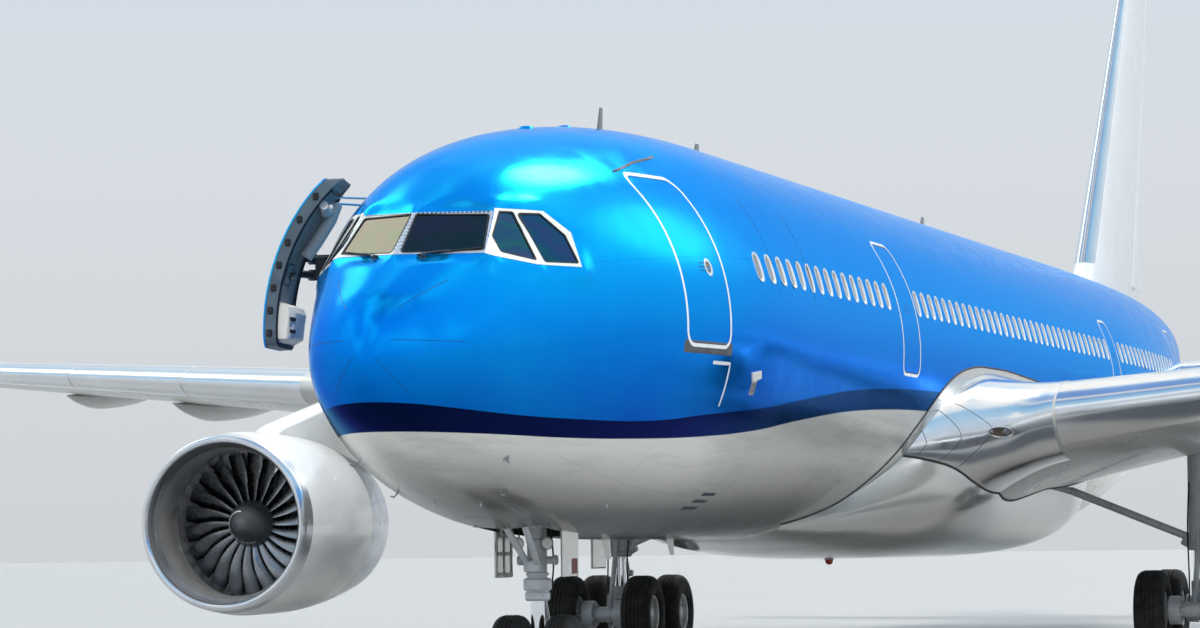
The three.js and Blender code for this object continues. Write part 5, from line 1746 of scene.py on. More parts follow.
def control(table, start, end, hinge, gap, end_gaps, upright=False, pins=True):
    """A control surface that turns about its hinge line, and what it takes out of its neighbour."""
    def ring_at(span):
        row = section_at(table, span)
        radius = half_depth(row, hinge)
        middle = (1 + hinge) / 2
        ring = [surface_point(row, t, half_depth(row, t), upright) for t in (1, middle)]
        for angle in np.linspace(0, math.pi, 17):
            t = hinge - radius * math.sin(angle) / row[3]
            ring.append(surface_point(row, t, radius * math.cos(angle), upright))
        ring += [surface_point(row, t, -half_depth(row, t), upright) for t in (middle, 1)]
        return ring

    across = np.array([1.0, 0, 0]) if upright else np.array([0, 0, 1.0])

    def cut_at(span, place):
        row = section_at(table, place)
        row[0] = span
        axis = surface_point(row, hinge, 0, upright)
        front, back = -half_depth(row, hinge) - gap, 0.6 * row[3]
        deep = row[3] * row[4]
        corners = [(back, deep), (front, deep), (front, -deep), (back, -deep)]
        return [axis + across * up + (0, aft, 0) for aft, up in corners]

    kinks = [row[0] for row in table if start < row[0] < end]
    spans = sorted({*np.linspace(start, end, 13), *kinks})
    moving = [loft([ring_at(s) for s in spans])]
    rings = [cut_at(start - end_gaps[0], start), *[cut_at(s, s) for s in spans]]
    cuts = [loft([*rings, cut_at(end + end_gaps[1], end)])]
    if pins:
        ends = [surface_point(section_at(table, s), hinge, 0, upright) for s in (start, end)]
        way = (ends[1] - ends[0]) / np.linalg.norm(ends[1] - ends[0])
        for place, span, sign, end_gap in zip(ends, (start, end), (-1, 1), end_gaps):
            radius = 0.45 * half_depth(section_at(table, span), hinge)
            inner = place - sign * way * (radius + 0.04)
            outer = place + sign * way * (end_gap + 0.09)
            moving.append(rod(inner, outer, radius, PIN_SIDES))
            cuts.append(rod(inner, outer + sign * way * 0.004, radius + 0.006, PIN_SIDES))
    return joined(moving), cuts


def spoilers():
    start, end, hinge = (SPOILER[k] for k in ("start", "end", "hinge"))
    back, thick, gap = (SPOILER[k] for k in ("back", "thick", "gap"))
    radius = thick / 2

    def plate_at(span):
        row = section_at(WING, span)
        top = half_depth(row, hinge)
        ring = [surface_point(row, t, half_depth(row, t)) for t in (back, (back + hinge) / 2, hinge)]
        for angle in np.linspace(0, math.pi, 9)[1:]:
            t = hinge - radius * math.sin(angle) / row[3]
            ring.append(surface_point(row, t, top - radius + radius * math.cos(angle)))
        ring.append(surface_point(row, back, half_depth(row, back) - thick * 0.35))
        return ring

    def hole_at(span, place):
        row = section_at(WING, place)
        row[0] = span
        front, rear = hinge - (radius + gap) / row[3], back + gap / row[3]
        top = half_depth(row, hinge)
        corners = [
            (rear, top + thick), (front, top + thick), (front, top - thick - gap),
            (rear, half_depth(row, back) - thick * 0.35 - gap),
        ]
        return [surface_point(row, t, offset) for t, offset in corners]

    kink = WING[3][0]
    moving = loft([plate_at(s) for s in (start, 14.5, kink, end)])
    cut = loft([hole_at(start - END_GAP, start), hole_at(kink, kink), hole_at(end + END_GAP, end)])
    return moving, [cut]


SHEET_PROUD, SHEET_SINK = 0.003, 0.008


def leading_edge(table, start, end, upper=0.13, lower=0.07, upright=False):
    """A metal skin around the front of a surface, a little proud of it."""
    steps = np.linspace(0, 1, 13)[1:] ** 2

    def shell(row, grow):
        def side(sign, reach):
            return [
                surface_point(row, t * reach, sign * (half_depth(row, t * reach) + grow), upright)
                for t in steps
            ]

        return [*side(1, upper)[::-1], surface_point(row, -grow / row[3], 0, upright), *side(-1, lower)]

    rings = []
    for span in np.linspace(start, end, max(3, math.ceil((end - start) / ROW_PITCH))):
        row = section_at(table, span)
        rings.append([*shell(row, SHEET_PROUD), *shell(row, -SHEET_SINK)[::-1]])
    return loft(rings)


def carved_pair(name, shape, material, cuts, node, slot=None):
    """A cut piece on the port side, and its mirror image on the starboard side."""
    left = make(f"{name}_left", shape, material, replaces=[f"{node}_left"], slot=slot)
    for cut in cuts:
        carved(left, cut)
    shade(left.data)
    twin(left, f"{name}_right", replaces=[f"{node}_right"], slot=slot)
    return left


# Canoe-shaped fairings over the flap tracks: span, length, depth and width
TRACKS = [(6.7, 4.6, 0.43, 0.42), (14.1, 6.2, 0.37, 0.55), (17.2, 4.8, 0.32, 0.48)]
TRACK_SIZE = [(0, 0.06), (0.12, 0.5), (0.34, 0.95), (0.6, 1), (0.85, 0.85), (1, 0.1)]
TRACK_LEAD = 0.58


def track_fairing(span, length, depth, width):
    row = section_at(WING, span)
    hinge = INNER_FLAP["hinge"] if span < INNER_FLAP["end"] else OUTER_FLAP["hinge"]
    start = hinge * row[3] - length * TRACK_LEAD
    size = column(TRACK_SIZE, 1)
    rings = []
    for t in np.linspace(0, 1, 33):
        along = (start + t * length) / row[3]
        under = half_depth(row, along) if along < 1 else 0
        centre = surface_point(row, along, -under - depth * 0.15)
        turn = full_turn(32)
        reach = np.where(np.cos(turn) > 0, 0.35, 0.85) * depth * size(t)
        rings.append(np.stack([
            centre[0] + width / 2 * size(t) * np.sin(turn),
            np.full(32, centre[1]),
            centre[2] + reach * np.cos(turn),
        ], 1))
    return loft(rings)


# The slats, from span to span
SLATS = [
    (4.15, 8.55), (10.25, 13.3), (13.34, 16.4), (16.44, 19.5), (19.54, 22.6), (22.64, 25.7), (25.74, 28.75),
]


def build_wings():
    aileron, aileron_cuts = control(WING, **AILERON)
    spoiler, spoiler_cuts = spoilers()
    inner_flap, inner_cuts = control(WING, **INNER_FLAP)
    outer_flap, outer_cuts = control(WING, **OUTER_FLAP)
    rows = [section_ring(row) for row in dense(WING, straight=WING_STRAIGHT)]
    cuts = [*aileron_cuts, *spoiler_cuts, *inner_cuts, *outer_cuts]
    paint = {"slot": "wing_paint"}
    carved_pair("wing_skin", loft(rows), GREY, cuts, "wing", **paint)
    make_pair("wing_track_fairings", joined([track_fairing(*t) for t in TRACKS]), GREY)
    make_pair("aileron_skin", aileron, GREY, body="aileron", replaces=["aileron"], **paint)
    make_pair("spoiler_skin", spoiler, GREY, body="spoilers", replaces=["spoilers"], **paint)
    make_pair("inner_flap_skin", inner_flap, GREY, replaces=["inner_flap"], **paint)
    make_pair("outer_flap_skin", outer_flap, GREY, replaces=["outer_flap"], **paint)
    make_pair("wing_slats", joined([leading_edge(WING, *s) for s in SLATS]), POLISHED)


# Belly fairing. Columns: station, half width, bottom, top of the side
FAIRING = [
    (16.4, 1.5, -2.83, -2.5),
    (18.2, 2.35, -2.95, -1.7),
    (20.2, 3.02, -3.09, -1.05),
    (22.5, 3.2, -3.16, -0.7),
    (29.5, 3.2, -3.16, -0.9),
    (32.2, 2.7, -3.0, -1.5),
    (34.8, 1.4, -2.83, -2.45),
]
FAIRING_ROUND = 0.62
# Both ends run on into the fuselage, so that they fade out of its skin
FAIRING_ENDS = [(15.5, 0.85, -2.74, -2.6), (35.7, 0.85, -2.74, -2.6)]
FAIRING_BLUR = 1.1
SHOULDER_LEAN, SHOULDER_RISE = 0.2, 0.65
FAIRING_RINGS, FAIRING_CROWN = 160, 0.7
SHOULDER_STEPS, SIDE_STEPS = 12, 37
HALF_RING = SHOULDER_STEPS + SIDE_STEPS


def fairing_curves():
    """Half width, bottom and top of the fairing's side by station, blurred so that nothing kinks."""
    table = [FAIRING_ENDS[0], *FAIRING, FAIRING_ENDS[1]]
    plain = [column(table, k) for k in (1, 2, 3)]
    low, high = table[0][0], table[-1][0]
    shifts = np.linspace(-FAIRING_BLUR, FAIRING_BLUR, 13)
    return lambda station: [float(np.mean(c(np.clip(station + shifts, low, high)))) for c in plain]


def fairing_ring(station, curves):
    """The section from the port shoulder down around the keel to the starboard shoulder."""
    half, bottom, top = curves(station)
    ring = []
    for turn in np.linspace(math.pi / 2, 0, SHOULDER_STEPS + 1)[:-1]:
        lean = SHOULDER_LEAN * half * (1 - math.cos(turn))
        ring.append((half - lean, station, top + SHOULDER_RISE * math.sin(turn)))
    for angle in np.linspace(0, math.pi / 2, SIDE_STEPS):
        side, down = math.cos(angle) ** FAIRING_ROUND, math.sin(angle) ** FAIRING_ROUND
        ring.append((half * side, station, top + (bottom - top) * down))
    return [*ring, *[(-x, y, z) for x, y, z in ring[-2::-1]]]


# Upper edge of the white shoulder that hugs the body around the wing's root: station, height
SADDLE = [
    (16.6, -2.4), (17.0, -2.06), (17.4, -1.72), (17.7, -1.45), (18.0, -1.19), (18.5, -0.87),
    (19.0, -0.62), (19.5, -0.43), (20.2, -0.25), (21.0, -0.13), (22.2, -0.05), (24.0, -0.04),
    (26.0, -0.09), (28.0, -0.16), (29.6, -0.29), (30.8, -0.7),
]
SHOULDER_PROUD, SHOULDER_SINK, SHOULDER_LAP = 0.004, 0.01, 0.03


def body_arc(station, high, low, lift):
    """Points down the round side of the body between two heights, lifted off it."""
    turns = np.linspace(math.asin(high / RADIUS), math.asin(low / RADIUS), 10)
    reach = RADIUS + lift
    return [(reach * math.cos(turn), station, reach * math.sin(turn)) for turn in turns]


def build_belly_fairing():
    curves = fairing_curves()
    saddle = column(SADDLE, 1)
    rings, seam, shoulder = [], [], []
    for station in np.linspace(FAIRING_ENDS[0][0], FAIRING_ENDS[1][0], FAIRING_RINGS):
        ring = fairing_ring(station, curves)
        rings.append([(0, station, curves(station)[2] + FAIRING_CROWN), *ring])
        out = [math.hypot(p[0], p[2]) - RADIUS for p in ring[:HALF_RING]]
        at = next((k for k in range(HALF_RING - 1) if out[k] < 0 <= out[k + 1]), None)
        if at is None:
            continue
        place = Vector(ring[at]).lerp(Vector(ring[at + 1]), out[at] / (out[at] - out[at + 1]))
        edge = float(saddle(station)) if SADDLE[0][0] < station < SADDLE[-1][0] else -RADIUS
        if edge > place.z:
            low = place.z - SHOULDER_LAP
            outer, inner = (body_arc(station, edge, low, lift) for lift in (SHOULDER_PROUD, -SHOULDER_SINK))
            shoulder.append([*outer, *inner[::-1]])
            place = Vector(body_arc(station, edge, low, 0)[0])
        seam.append(place)
    make("belly_fairing_skin", loft(rings), BELLY_PAINT, replaces=["belly_fairing"], slot="white_paint")
    make_pair("belly_fairing_shoulder", loft(shoulder), BELLY_PAINT)
    make_pair("belly_fairing_seal", sweep(seam, 0.016, 8), BLACK)
    build_root_seals(curves)


# The wing's front edge sweeps ahead into the body. Columns: span, station, height
ROOT_EDGE = [
    (2.2, 17.95, -1.5),
    (2.42, 18.3, -1.43),
    (2.67, 18.8, -1.35),
    (2.9, 19.35, -1.28),
    (3.25, 20.1, -1.18),
    (3.65, 20.85, -1.0),
    (4.11, 21.39, -0.82),
]
ROOT_FRONT = [column(ROOT_EDGE, k) for k in (1, 2)]
ROOT_BLEND, ROOT_FADE = 0.17, 0.6
ROOT_PROUD, ROOT_SINK = 0.003, 0.012
# How far the root stands off the wing's skin: above and below
ROOT_SWELL = {1: 0.17, -1: 0.34}
ROOT_SWELL_SPANS = (2.2, 2.96, 4.11)
# Seams across the root's front: span at the edge, how far they run inboard, angle below and above
ROOT_SEAMS = [(2.62, 0.1, 0.2, 0.3), (3.0, 0.3, 0.4, 0.5), (3.36, 0.52, 0.57, 0.6)]
# From station to station
ROOT_SEAL = (18.2, 30.6)
# Distance from the centre line and height; half width and half height
LANDING_LIGHT = (3.44, -1.165)
LANDING_LIGHT_SIZE = (0.16, 0.09)
LANDING_LIGHT_RIM = [(1, -0.01), (1, 0.006), (0.88, 0.008), (0.82, 0.001)]


def root_swell(span, sign):
    share = float(np.interp(span, ROOT_SWELL_SPANS, (0.3, 1, 0)))
    return ROOT_SWELL[sign] * (share**2 if span > ROOT_SWELL_SPANS[1] else share)


def root_point(span, sign, turn, proud=ROOT_PROUD):
    """A point of the root's front, on a quarter ellipse from its edge to above or below the wing."""
    station, height = (float(c(span)) for c in ROOT_FRONT)
    row = section_at(WING, span)
    depth = half_depth(row, ROOT_BLEND) + root_swell(span, sign)
    _, end_station, end_height = surface_point(row, ROOT_BLEND, sign * depth)
    along = end_station - (end_station - station + proud) * math.cos(turn)
    return span, along, height + (end_height - height + sign * proud) * math.sin(turn)


def root_front(span, sign):
    return [root_point(span, sign, turn) for turn in np.linspace(0, math.pi / 2, 16)]


def root_back(span, sign):
    """The root's skin behind its front, which sinks into the wing."""
    row = section_at(WING, span)
    points = []
    outer = float(np.interp(span, ROOT_SWELL_SPANS[1:], (0, 1))) ** 2
    for t in np.linspace(ROOT_BLEND, ROOT_FADE, 10):
        left = (ROOT_FADE - t) / (ROOT_FADE - ROOT_BLEND)
        lift = root_swell(span, sign) * left * left * (3 - 2 * left) - ROOT_SINK * (1 - left + outer)
        points.append(surface_point(row, t, sign * (half_depth(row, t) + lift)))
    return points


def under_wing(span, station):
    """The height of the wing's underside at a place, with the root's front; high up ahead of it."""
    row = section_at(WING, span)
    if span < ROOT_EDGE[-1][0]:
        under = [*root_front(span, -1), *root_back(span, -1)[1:]]
        if station < under[0][1]:
            return RADIUS
        if station < under[-1][1]:
            return float(np.interp(station, [p[1] for p in under], [p[2] for p in under]))
    chord_part = (station - row[1]) / row[3]
    return surface_point(row, chord_part, -half_depth(row, chord_part))[2]


def build_root_seals(curves):
    """The black rubber where the wing's underside meets the belly fairing."""
    path = []
    for station in np.linspace(*ROOT_SEAL, 90):
        ring = [p for p in fairing_ring(station, curves) if p[0] > ROOT_EDGE[0][0]]
        above = [under_wing(p[0], station) - p[2] for p in ring]
        for a, b, p, q in zip(above, above[1:], ring, ring[1:]):
            if a <= 0 < b:
                path.append(Vector(p).lerp(Vector(q), a / (a - b)))
                break
    make_pair("wing_root_seal", sweep(path, 0.02, 8), BLACK)


def root_seam(span, inboard, below, above):
    """One thin seam that runs round the root's front and bends towards the body."""
    path = []
    for t in np.linspace(-1, 1, 31):
        sign, turn = (-1, below) if t < 0 else (1, above)
        path.append(root_point(span - inboard * abs(t) ** 1.5, sign, abs(t) * turn, ROOT_PROUD + 0.001))
    return sweep(path, 0.0035, 6)


def landing_light_ring(tree, size, lift):
    """An oval of points on the root's front, lifted off it."""
    ring = []
    for turn in full_turn(36):
        side = LANDING_LIGHT[0] + size * LANDING_LIGHT_SIZE[0] * math.cos(turn)
        height = LANDING_LIGHT[1] + size * LANDING_LIGHT_SIZE[1] * math.sin(turn)
        hit, normal, _, _ = tree.ray_cast(Vector((side, 15, height)), Vector((0, 1, 0)))
        out = normal if normal.y < 0 else -normal
        ring.append(hit + out * lift)
    return ring


def build_root_edge():
    """The polished front of the wing's root, its seams, and the landing light set into it."""
    spans = np.linspace(ROOT_EDGE[0][0], ROOT_EDGE[-1][0], 30)
    front = loft([[*root_front(span, 1)[::-1], *root_front(span, -1)[1:]] for span in spans])
    make_pair("wing_root_edge", front, POLISHED)
    back = loft([[*root_back(span, 1)[::-1], *root_back(span, -1)] for span in spans])
    make_pair("wing_root_fillet", back, GREY)
    make_pair("wing_root_seams", joined([root_seam(*seam) for seam in ROOT_SEAMS]), DARK_LINE)
    tree = BVHTree.FromPolygons([tuple(p) for p in front[0]], front[1])
    rim = [landing_light_ring(tree, *row) for row in LANDING_LIGHT_RIM]
    make_pair("landing_light_rim", loft(rim, caps=False), POLISHED)
    glass = [landing_light_ring(tree, 0.84, lift) for lift in (-0.01, 0.002)]
    make_pair("landing_light_glass", loft(glass), LAMP_DARK)


# Tail. The plan of the slot that the stabiliser turns in, and the tube that it turns on
TAIL_PLAN = (50.0, 51.5, 53.0, 54.2, 55.0, 56.3, TAIL_END, 59.5)
TRIM_GAP = 0.028
TRIM_PIVOT = (55.15, 0.91, 0.13)
TRIM_HALF = 1.3


def build_fin():
    rudder, rudder_cuts = control(FIN, **RUDDER)
    rows = [section_ring(row, True) for row in dense(FIN)]
    fin = make("fin_skin", loft(rows), FIN_WHITE, replaces=["fin"], slot="white_paint")
    for cut in rudder_cuts:
        carved(fin, cut)
    shade(fin.data)
    make("rudder_skin", rudder, FIN_WHITE, body="rudder", replaces=["rudder"], slot="white_paint")
    make("fin_edge", leading_edge(FIN, 3.3, 12.0, 0.05, 0.05, upright=True), POLISHED)


def build_stabiliser():
    elevator, elevator_cuts = control(STABILISER, **ELEVATOR)
    half = make(
        "stabiliser_skin_left", loft([section_ring(row) for row in dense(STABILISER)]), GREY,
        body="stabiliser", replaces=["horizontal_stabiliser"], slot="white_paint",
    )
    side = [(outline(min(s, TAIL_END))[0] + TRIM_GAP, s) for s in TAIL_PLAN]
    plan = [*side, *[(-x, s) for x, s in reversed(side)]]
    for cut in [*elevator_cuts, loft([[(x, s, h) for x, s in plan] for h in (-0.5, 2.5)])]:
        carved(half, cut)
    shade(half.data)
    twin(half, "stabiliser_skin_right", body="stabiliser")
    station, height, radius = TRIM_PIVOT
    axle = rod((-TRIM_HALF, station, height), (TRIM_HALF, station, height), radius, 36)
    make("trim_tube", axle, STEEL, body="stabiliser")
    edge = leading_edge(STABILISER, 1.3, 9.4, 0.06, 0.05)
    make_pair("stabiliser_edge", edge, POLISHED, body="stabiliser")
    make_pair("elevator_skin", elevator, GREY, body="elevator", replaces=["elevator"], slot="white_paint")


# Engines. Radii by distance aft of the inlet
ENGINE_SIDE, ENGINE_STATION, ENGINE_HEIGHT = 9.37, 19.2, -2.45
LIP_LENGTH, LIP_RADIUS, LIP_HALF = 0.2, 1.385, 0.085
NACELLE_OUTSIDE = [(0.2, 1.47), (0.7, 1.525), (1.5, 1.535), (2.3, 1.525), (3.7, 1.42), (4.65, 1.285)]
NACELLE_INSIDE = [(0.2, 1.3), (0.6, 1.21), (1.15, 1.256), (3.0, 1.256), (4.65, 1.262)]
LIP_END, COWL_END, NACELLE_END = 0.34, 3.35, 4.65
SKIN = 0.016
FAN_STATION, FAN_RADIUS, FAN_HUB, FAN_BLADES, FAN_BACK = 1.3, 1.23, 0.4, 22, 0.33
CORE = [(1.66, 0.56), (2.3, 0.76), (3.6, 0.86), (4.7, 0.8), (5.6, 0.56)]
CORE_END = 5.6
PLUG = [(5.2, 0.42), (5.6, 0.43), (6.0, 0.26), (6.35, 0.05)]
PYLON = [
    (20.5, -1.05), (21.5, -0.76), (24.3, -0.26), (25.6, -0.08), (28.3, -0.5),
    (28.9, -0.82), (27.2, -1.25), (24.95, -1.88), (23.7, -1.88), (20.5, -1.3),
]
PYLON_FOOT = 0.012
PYLON_WIDTH = 0.46


def engine_turned(profile, sides=96, hollow=True):
    start = (ENGINE_SIDE, ENGINE_STATION, ENGINE_HEIGHT)
    end = (ENGINE_SIDE, ENGINE_STATION + 1, ENGINE_HEIGHT)
    return (ring_turned if hollow else turned)(profile, start, end, sides)


def along_curve(curve, start, end, count):
    """Points of a curve of radius against distance."""
    return [(d, float(curve(d))) for d in np.linspace(start, end, count)]


def shell_profile(curve, start, end, thick):
    """A closed outline of a thin skin along a curve of radius against distance."""
    outer = along_curve(curve, start, end, 30)
    return [*outer, *[(d, r + thick) for d, r in reversed(outer)]]


def engine_point(angle, radius, distance, side=0.0):
    """A point about the engine's axis; side is a step to the right of the way out."""
    return (
        ENGINE_SIDE + radius * math.sin(angle) + side * math.cos(angle),
        ENGINE_STATION + distance,
        ENGINE_HEIGHT + radius * math.cos(angle) - side * math.sin(angle),
    )


def fan_blade(turn):
    """One wide, twisted blade: its sections lie on cylinders about the engine's axis."""
    rings = []
    for share in np.linspace(0, 1, 9):
        radius = FAN_HUB - 0.03 + share * (FAN_RADIUS - FAN_HUB + 0.03)
        pitch = 0.62 + 0.62 * share
        half = 0.14 + 0.045 * math.sin(math.pi * min(share * 1.15, 1))
        thick = 0.016 - 0.011 * share
        sweep_back = 0.035 * (share**3) - 0.02 * math.sin(math.pi * share)
        ring = []
        for s in full_turn(14):
            along = -math.cos(s) * half
            camber = 0.03 * (1 - (along / half) ** 2)
            across = thick * math.sin(s) + camber
            side = along * math.sin(pitch) + across * math.cos(pitch)
            aft = along * math.cos(pitch) - across * math.sin(pitch) + sweep_back
            ring.append(engine_point(turn + side / radius, radius, FAN_STATION + 0.15 + aft))
        rings.append(ring)
    return loft(rings)


def engine_vane(turn, low, high, start, end, thick):
    """A streamlined strut across the bypass duct."""
    middle, half = (start + end) / 2, (end - start) / 2
    return loft([
        [
            engine_point(turn, radius, middle - math.cos(a) * half, math.sin(a) * thick / 2)
            for a in full_turn(16)
        ]
        for radius in (low, high)
    ])


def spinner_spiral():
    """The white comma painted on the spinner, so that a turning fan is seen."""
    rings = []
    for t in np.linspace(0, 1, 30):
        distance, angle = FAN_STATION - 0.42 + 0.3 * t, 3.6 * t
        width = 0.05 * math.sin(math.pi * min(1, t * 1.3 + 0.08)) + 0.006
        ring = []
        for push, lift in ((-1, -0.01), (1, -0.01), (1, 0.003), (-1, 0.003)):
            place = distance + push * width / 2
            ring.append(engine_point(angle, float(spinner_radius(place)) + lift, place))
        rings.append(ring)
    return loft(rings)


SPINNER_SHAPE = [(0.68, 0.0), (0.76, 0.115), (0.9, 0.21), (1.1, 0.31), (1.3, 0.392), (1.45, 0.4)]


def spinner_radius(distance):
    return np.interp(distance, *zip(*SPINNER_SHAPE))


GUIDE_VANES = 40
PYLON_ROUND = 0.11


def build_nacelle(outside, inside):
    turn = np.linspace(-math.pi / 2, math.pi / 2, 25)
    lip = [(LIP_LENGTH - LIP_LENGTH * math.cos(a), LIP_RADIUS + LIP_HALF * math.sin(a)) for a in turn]
    after = along_curve(outside, LIP_LENGTH, LIP_END, 6)[1:]
    before = along_curve(inside, LIP_END, LIP_LENGTH, 6)[:-1]
    whole = engine_turned([*before, *lip, *after])
    make_pair("nacelle_lip", whole, LIP_METAL, replaces=["engine_nacelle"], slot="white_paint")
    for name, curve, start, end, thick, material in (
        ("nacelle_cowl", outside, LIP_END + 0.006, COWL_END, -SKIN, WHITE),
        ("nacelle_rear", outside, COWL_END + 0.014, NACELLE_END, -SKIN, SILVER),
        ("inlet_barrel", inside, LIP_END, FAN_STATION - 0.06, SKIN, LINER),
        ("bypass_duct", inside, FAN_STATION - 0.04, NACELLE_END, SKIN, DARK_METAL),
    ):
        make_pair(name, engine_turned(shell_profile(curve, start, end, thick)), material)


def build_fan():
    blades = joined([fan_blade(t) for t in full_turn(FAN_BLADES)])
    make_pair("fan_blades", blades, FAN_METAL, body="fan", replaces=["engine_fan"], slot="dark_metal")
    back = FAN_STATION + FAN_BACK
    nose = along_curve(spinner_radius, 0.7, FAN_STATION, 16)
    hub = [SPINNER_SHAPE[0], *nose, (back, FAN_HUB), (back, 0)]
    make_pair("fan_spinner", engine_turned(hub, 64, hollow=False), SPINNER_GREY, body="fan")
    make_pair("fan_mark", spinner_spiral(), WHITE_LINE, body="fan")


def build_core():
    cowl = along_curve(spline(*zip(*CORE)), 1.66, CORE_END, 30)
    body = [(1.642, 0), *cowl, (CORE_END, 0.535), (5.3, 0.5), (5.3, 0)]
    make_pair(
        "core_cowl", engine_turned(body, 72, hollow=False), HOT_METAL,
        replaces=["engine_core"], slot="bare_metal",
    )
    plug = [(5.15, 0), *along_curve(spline(*zip(*PLUG)), 5.2, 6.35, 18), (6.35, 0)]
    make_pair("exhaust_plug", engine_turned(plug, 64, hollow=False), HOT_METAL)
    struts = [engine_vane(t, 0.5, 1.26, 1.9, 2.14, 0.022) for t in full_turn(GUIDE_VANES)]
    make_pair("guide_vanes", joined(struts), FAN_METAL)


def build_pylon(outside):
    side_view = np.array(PYLON)
    rings = []
    for across in np.sin(np.linspace(-math.pi / 2, math.pi / 2, 13)):
        inset = PYLON_ROUND * (1 - math.sqrt(max(0, 1 - across**2)))
        side = ENGINE_SIDE + across * PYLON_WIDTH / 2
        rings.append([(side, s, h) for s, h in grown(side_view, -inset)])
    cowl = [(d, r - PYLON_FOOT) for d, r in along_curve(outside, LIP_LENGTH, NACELLE_END, 30)]
    inner = engine_turned([(0.001, 0.001), *cowl, (NACELLE_END, 0.001)], 96, hollow=False)
    carved_pair("pylon_skin", loft(rings), WHITE, [inner], "engine_pylon", slot="white_paint")


def build_engines():
    outside, inside = spline(*zip(*NACELLE_OUTSIDE)), spline(*zip(*NACELLE_INSIDE))
    build_nacelle(outside, inside)
    build_fan()
    build_core()
    build_pylon(outside)


# Landing gear

def axle_turned(profile, side, station, height, sides=64, hollow=False, way=1):
    start, end = (side, station, height), (side + way, station, height)
    return (ring_turned if hollow else turned)(profile, start, end, sides)


NOSE_GEAR = dict(station=6.67, tyre=0.525, width=0.39, track=0.71, rim=0.27, axle=0.062)
MAIN_GEAR = dict(station=28.85, span=5.34, tyre=0.7, width=0.53, track=1.4, rim=0.33, axle=0.07)
BOGIE_SPACING = 1.98
# A tyre's outer side: distance as a share of its width, and how far up the sidewall
SIDEWALL = [
    (-0.38, 0), (-0.45, 0.1), (-0.495, 0.3), (-0.5, 0.5), (-0.485, 0.68), (-0.44, 0.84), (-0.36, 0.94),
]
GROOVES = (-0.2, -0.068, 0.068, 0.2)
GROOVE_WIDTH, GROOVE_DEPTH = 0.05, 0.03


def tyre_shape(gear, side, station, height):
    """A grooved tyre as a closed outline turned about the axle."""
    wall = [(x, gear["rim"] - 0.002 + r * (gear["tyre"] - gear["rim"] + 0.002)) for x, r in SIDEWALL]
    crown = gear["tyre"]
    tread = [(-0.27, crown - 0.006)]
    for x in GROOVES:
        half = GROOVE_WIDTH / 2
        deep = crown - GROOVE_DEPTH * gear["width"]
        tread += [(x - half, crown), (x - half * 0.6, deep), (x + half * 0.6, deep), (x + half, crown)]
    tread.append((0.27, crown - 0.006))
    profile = [*wall, *tread, *[(-x, r) for x, r in reversed(wall)]]
    profile = [(x * gear["width"], r) for x, r in profile]
    return axle_turned(profile, side, station, height, 66, hollow=True)


# A wheel's outline from its inner to its outer side: distance, radius and, last, what is added to it.
# The distances are shares of its width and the radii shares of its rim
WHEEL_RIM = [
    (-0.16, 0.86, 0), (-0.36, 0.93, 0), (-0.4, 1, 0.012), (-0.37, 1, 0.018), (-0.33, 1, -0.01),
    (0.33, 1, -0.01), (0.37, 1, 0.018), (0.4, 1, 0.012), (0.38, 0.93, 0), (0.24, 0.86, 0), (0.16, 0.62, 0),
    (0.2, 0.45, 0), (0.3, 0.38, 0), (0.34, 0.32, 0), (0.36, 0.12, 0), (0.36, 0, 0),
]
# Its inner hub, with radii as shares of the axle
WHEEL_HUB = [(-0.3, 0), (-0.3, 1.3), (-0.2, 1.5)]
# Studs, and black discs as painted shade for holes: count, offset in turns, circle, distance out, depth in
# and out, size and sides
WHEEL_BOLTS = (12, 0, 0.72, 0.2, 0.03, 0.022, 0.05, 6)
CAP_BOLTS = (6, 0.5, 0.22, 0.34, 0.02, 0.012, 0.03, 6)
WEB_HOLE_SHADE = (9, 0.5, 0.57, 0.185, 0.01, 0.006, 0.075, 20)


def around_wheel(gear, side, station, height, way, row):
    """Short rods in a circle about a wheel's axle."""
    count, offset, circle_size, out, inward, outward, size, sides = row
    rim, x = gear["rim"], side + way * out * gear["width"]
    shapes = []
    for k in range(count):
        angle = 2 * math.pi * (k + offset) / count
        reach = rim * circle_size
        place = (station + reach * math.cos(angle), height + reach * math.sin(angle))
        shapes.append(rod((x - way * inward, *place), (x + way * outward, *place), rim * size, sides))
    return shapes


def wheel_shape(gear, side, station, height, way):
    """A wheel with its rim flanges, bolts and hub cap; way is the side that faces outward."""
    width, rim, axle = gear["width"], gear["rim"], gear["axle"]
    profile = [(x * width, r * axle) for x, r in WHEEL_HUB]
    profile += [(x * width, r * rim + more) for x, r, more in WHEEL_RIM]
    shapes = [axle_turned(profile, side, station, height, 60, way=way)]
    for row in (WHEEL_BOLTS, CAP_BOLTS):
        shapes += around_wheel(gear, side, station, height, way, row)
    return joined(shapes)


def wheel_set(name, gear, side, station, height, body, tyres, rims, pair=True):
    """Two wheels on an axle, black discs as painted shade where the holes in their webs are, and their tyres.
    """
    half = gear["track"] / 2
    put = make_pair if pair else make
    places = [(gear, side + s * half, station, height, s) for s in (-1, 1)]
    metal = [wheel_shape(*place) for place in places]
    metal.append(rod((side - half, station, height), (side + half, station, height), gear["axle"], 32))
    put(f"{name}_rims", joined(metal), WHEEL_PAINT, body=body, replaces=[rims], slot="bare_metal")
    # Painted shade: black discs on the wheel webs stand where holes would be
    holes = [hole for place in places for hole in around_wheel(*place, WEB_HOLE_SHADE)]
    put(f"{name}_webs", joined(holes), BLACK, body=body)
    for node, s in tyres:
        shape = tyre_shape(gear, side + s * half, station, height)
        put(f"{node}_tread", shape, RUBBER, body=body, replaces=[node], slot="tyre")


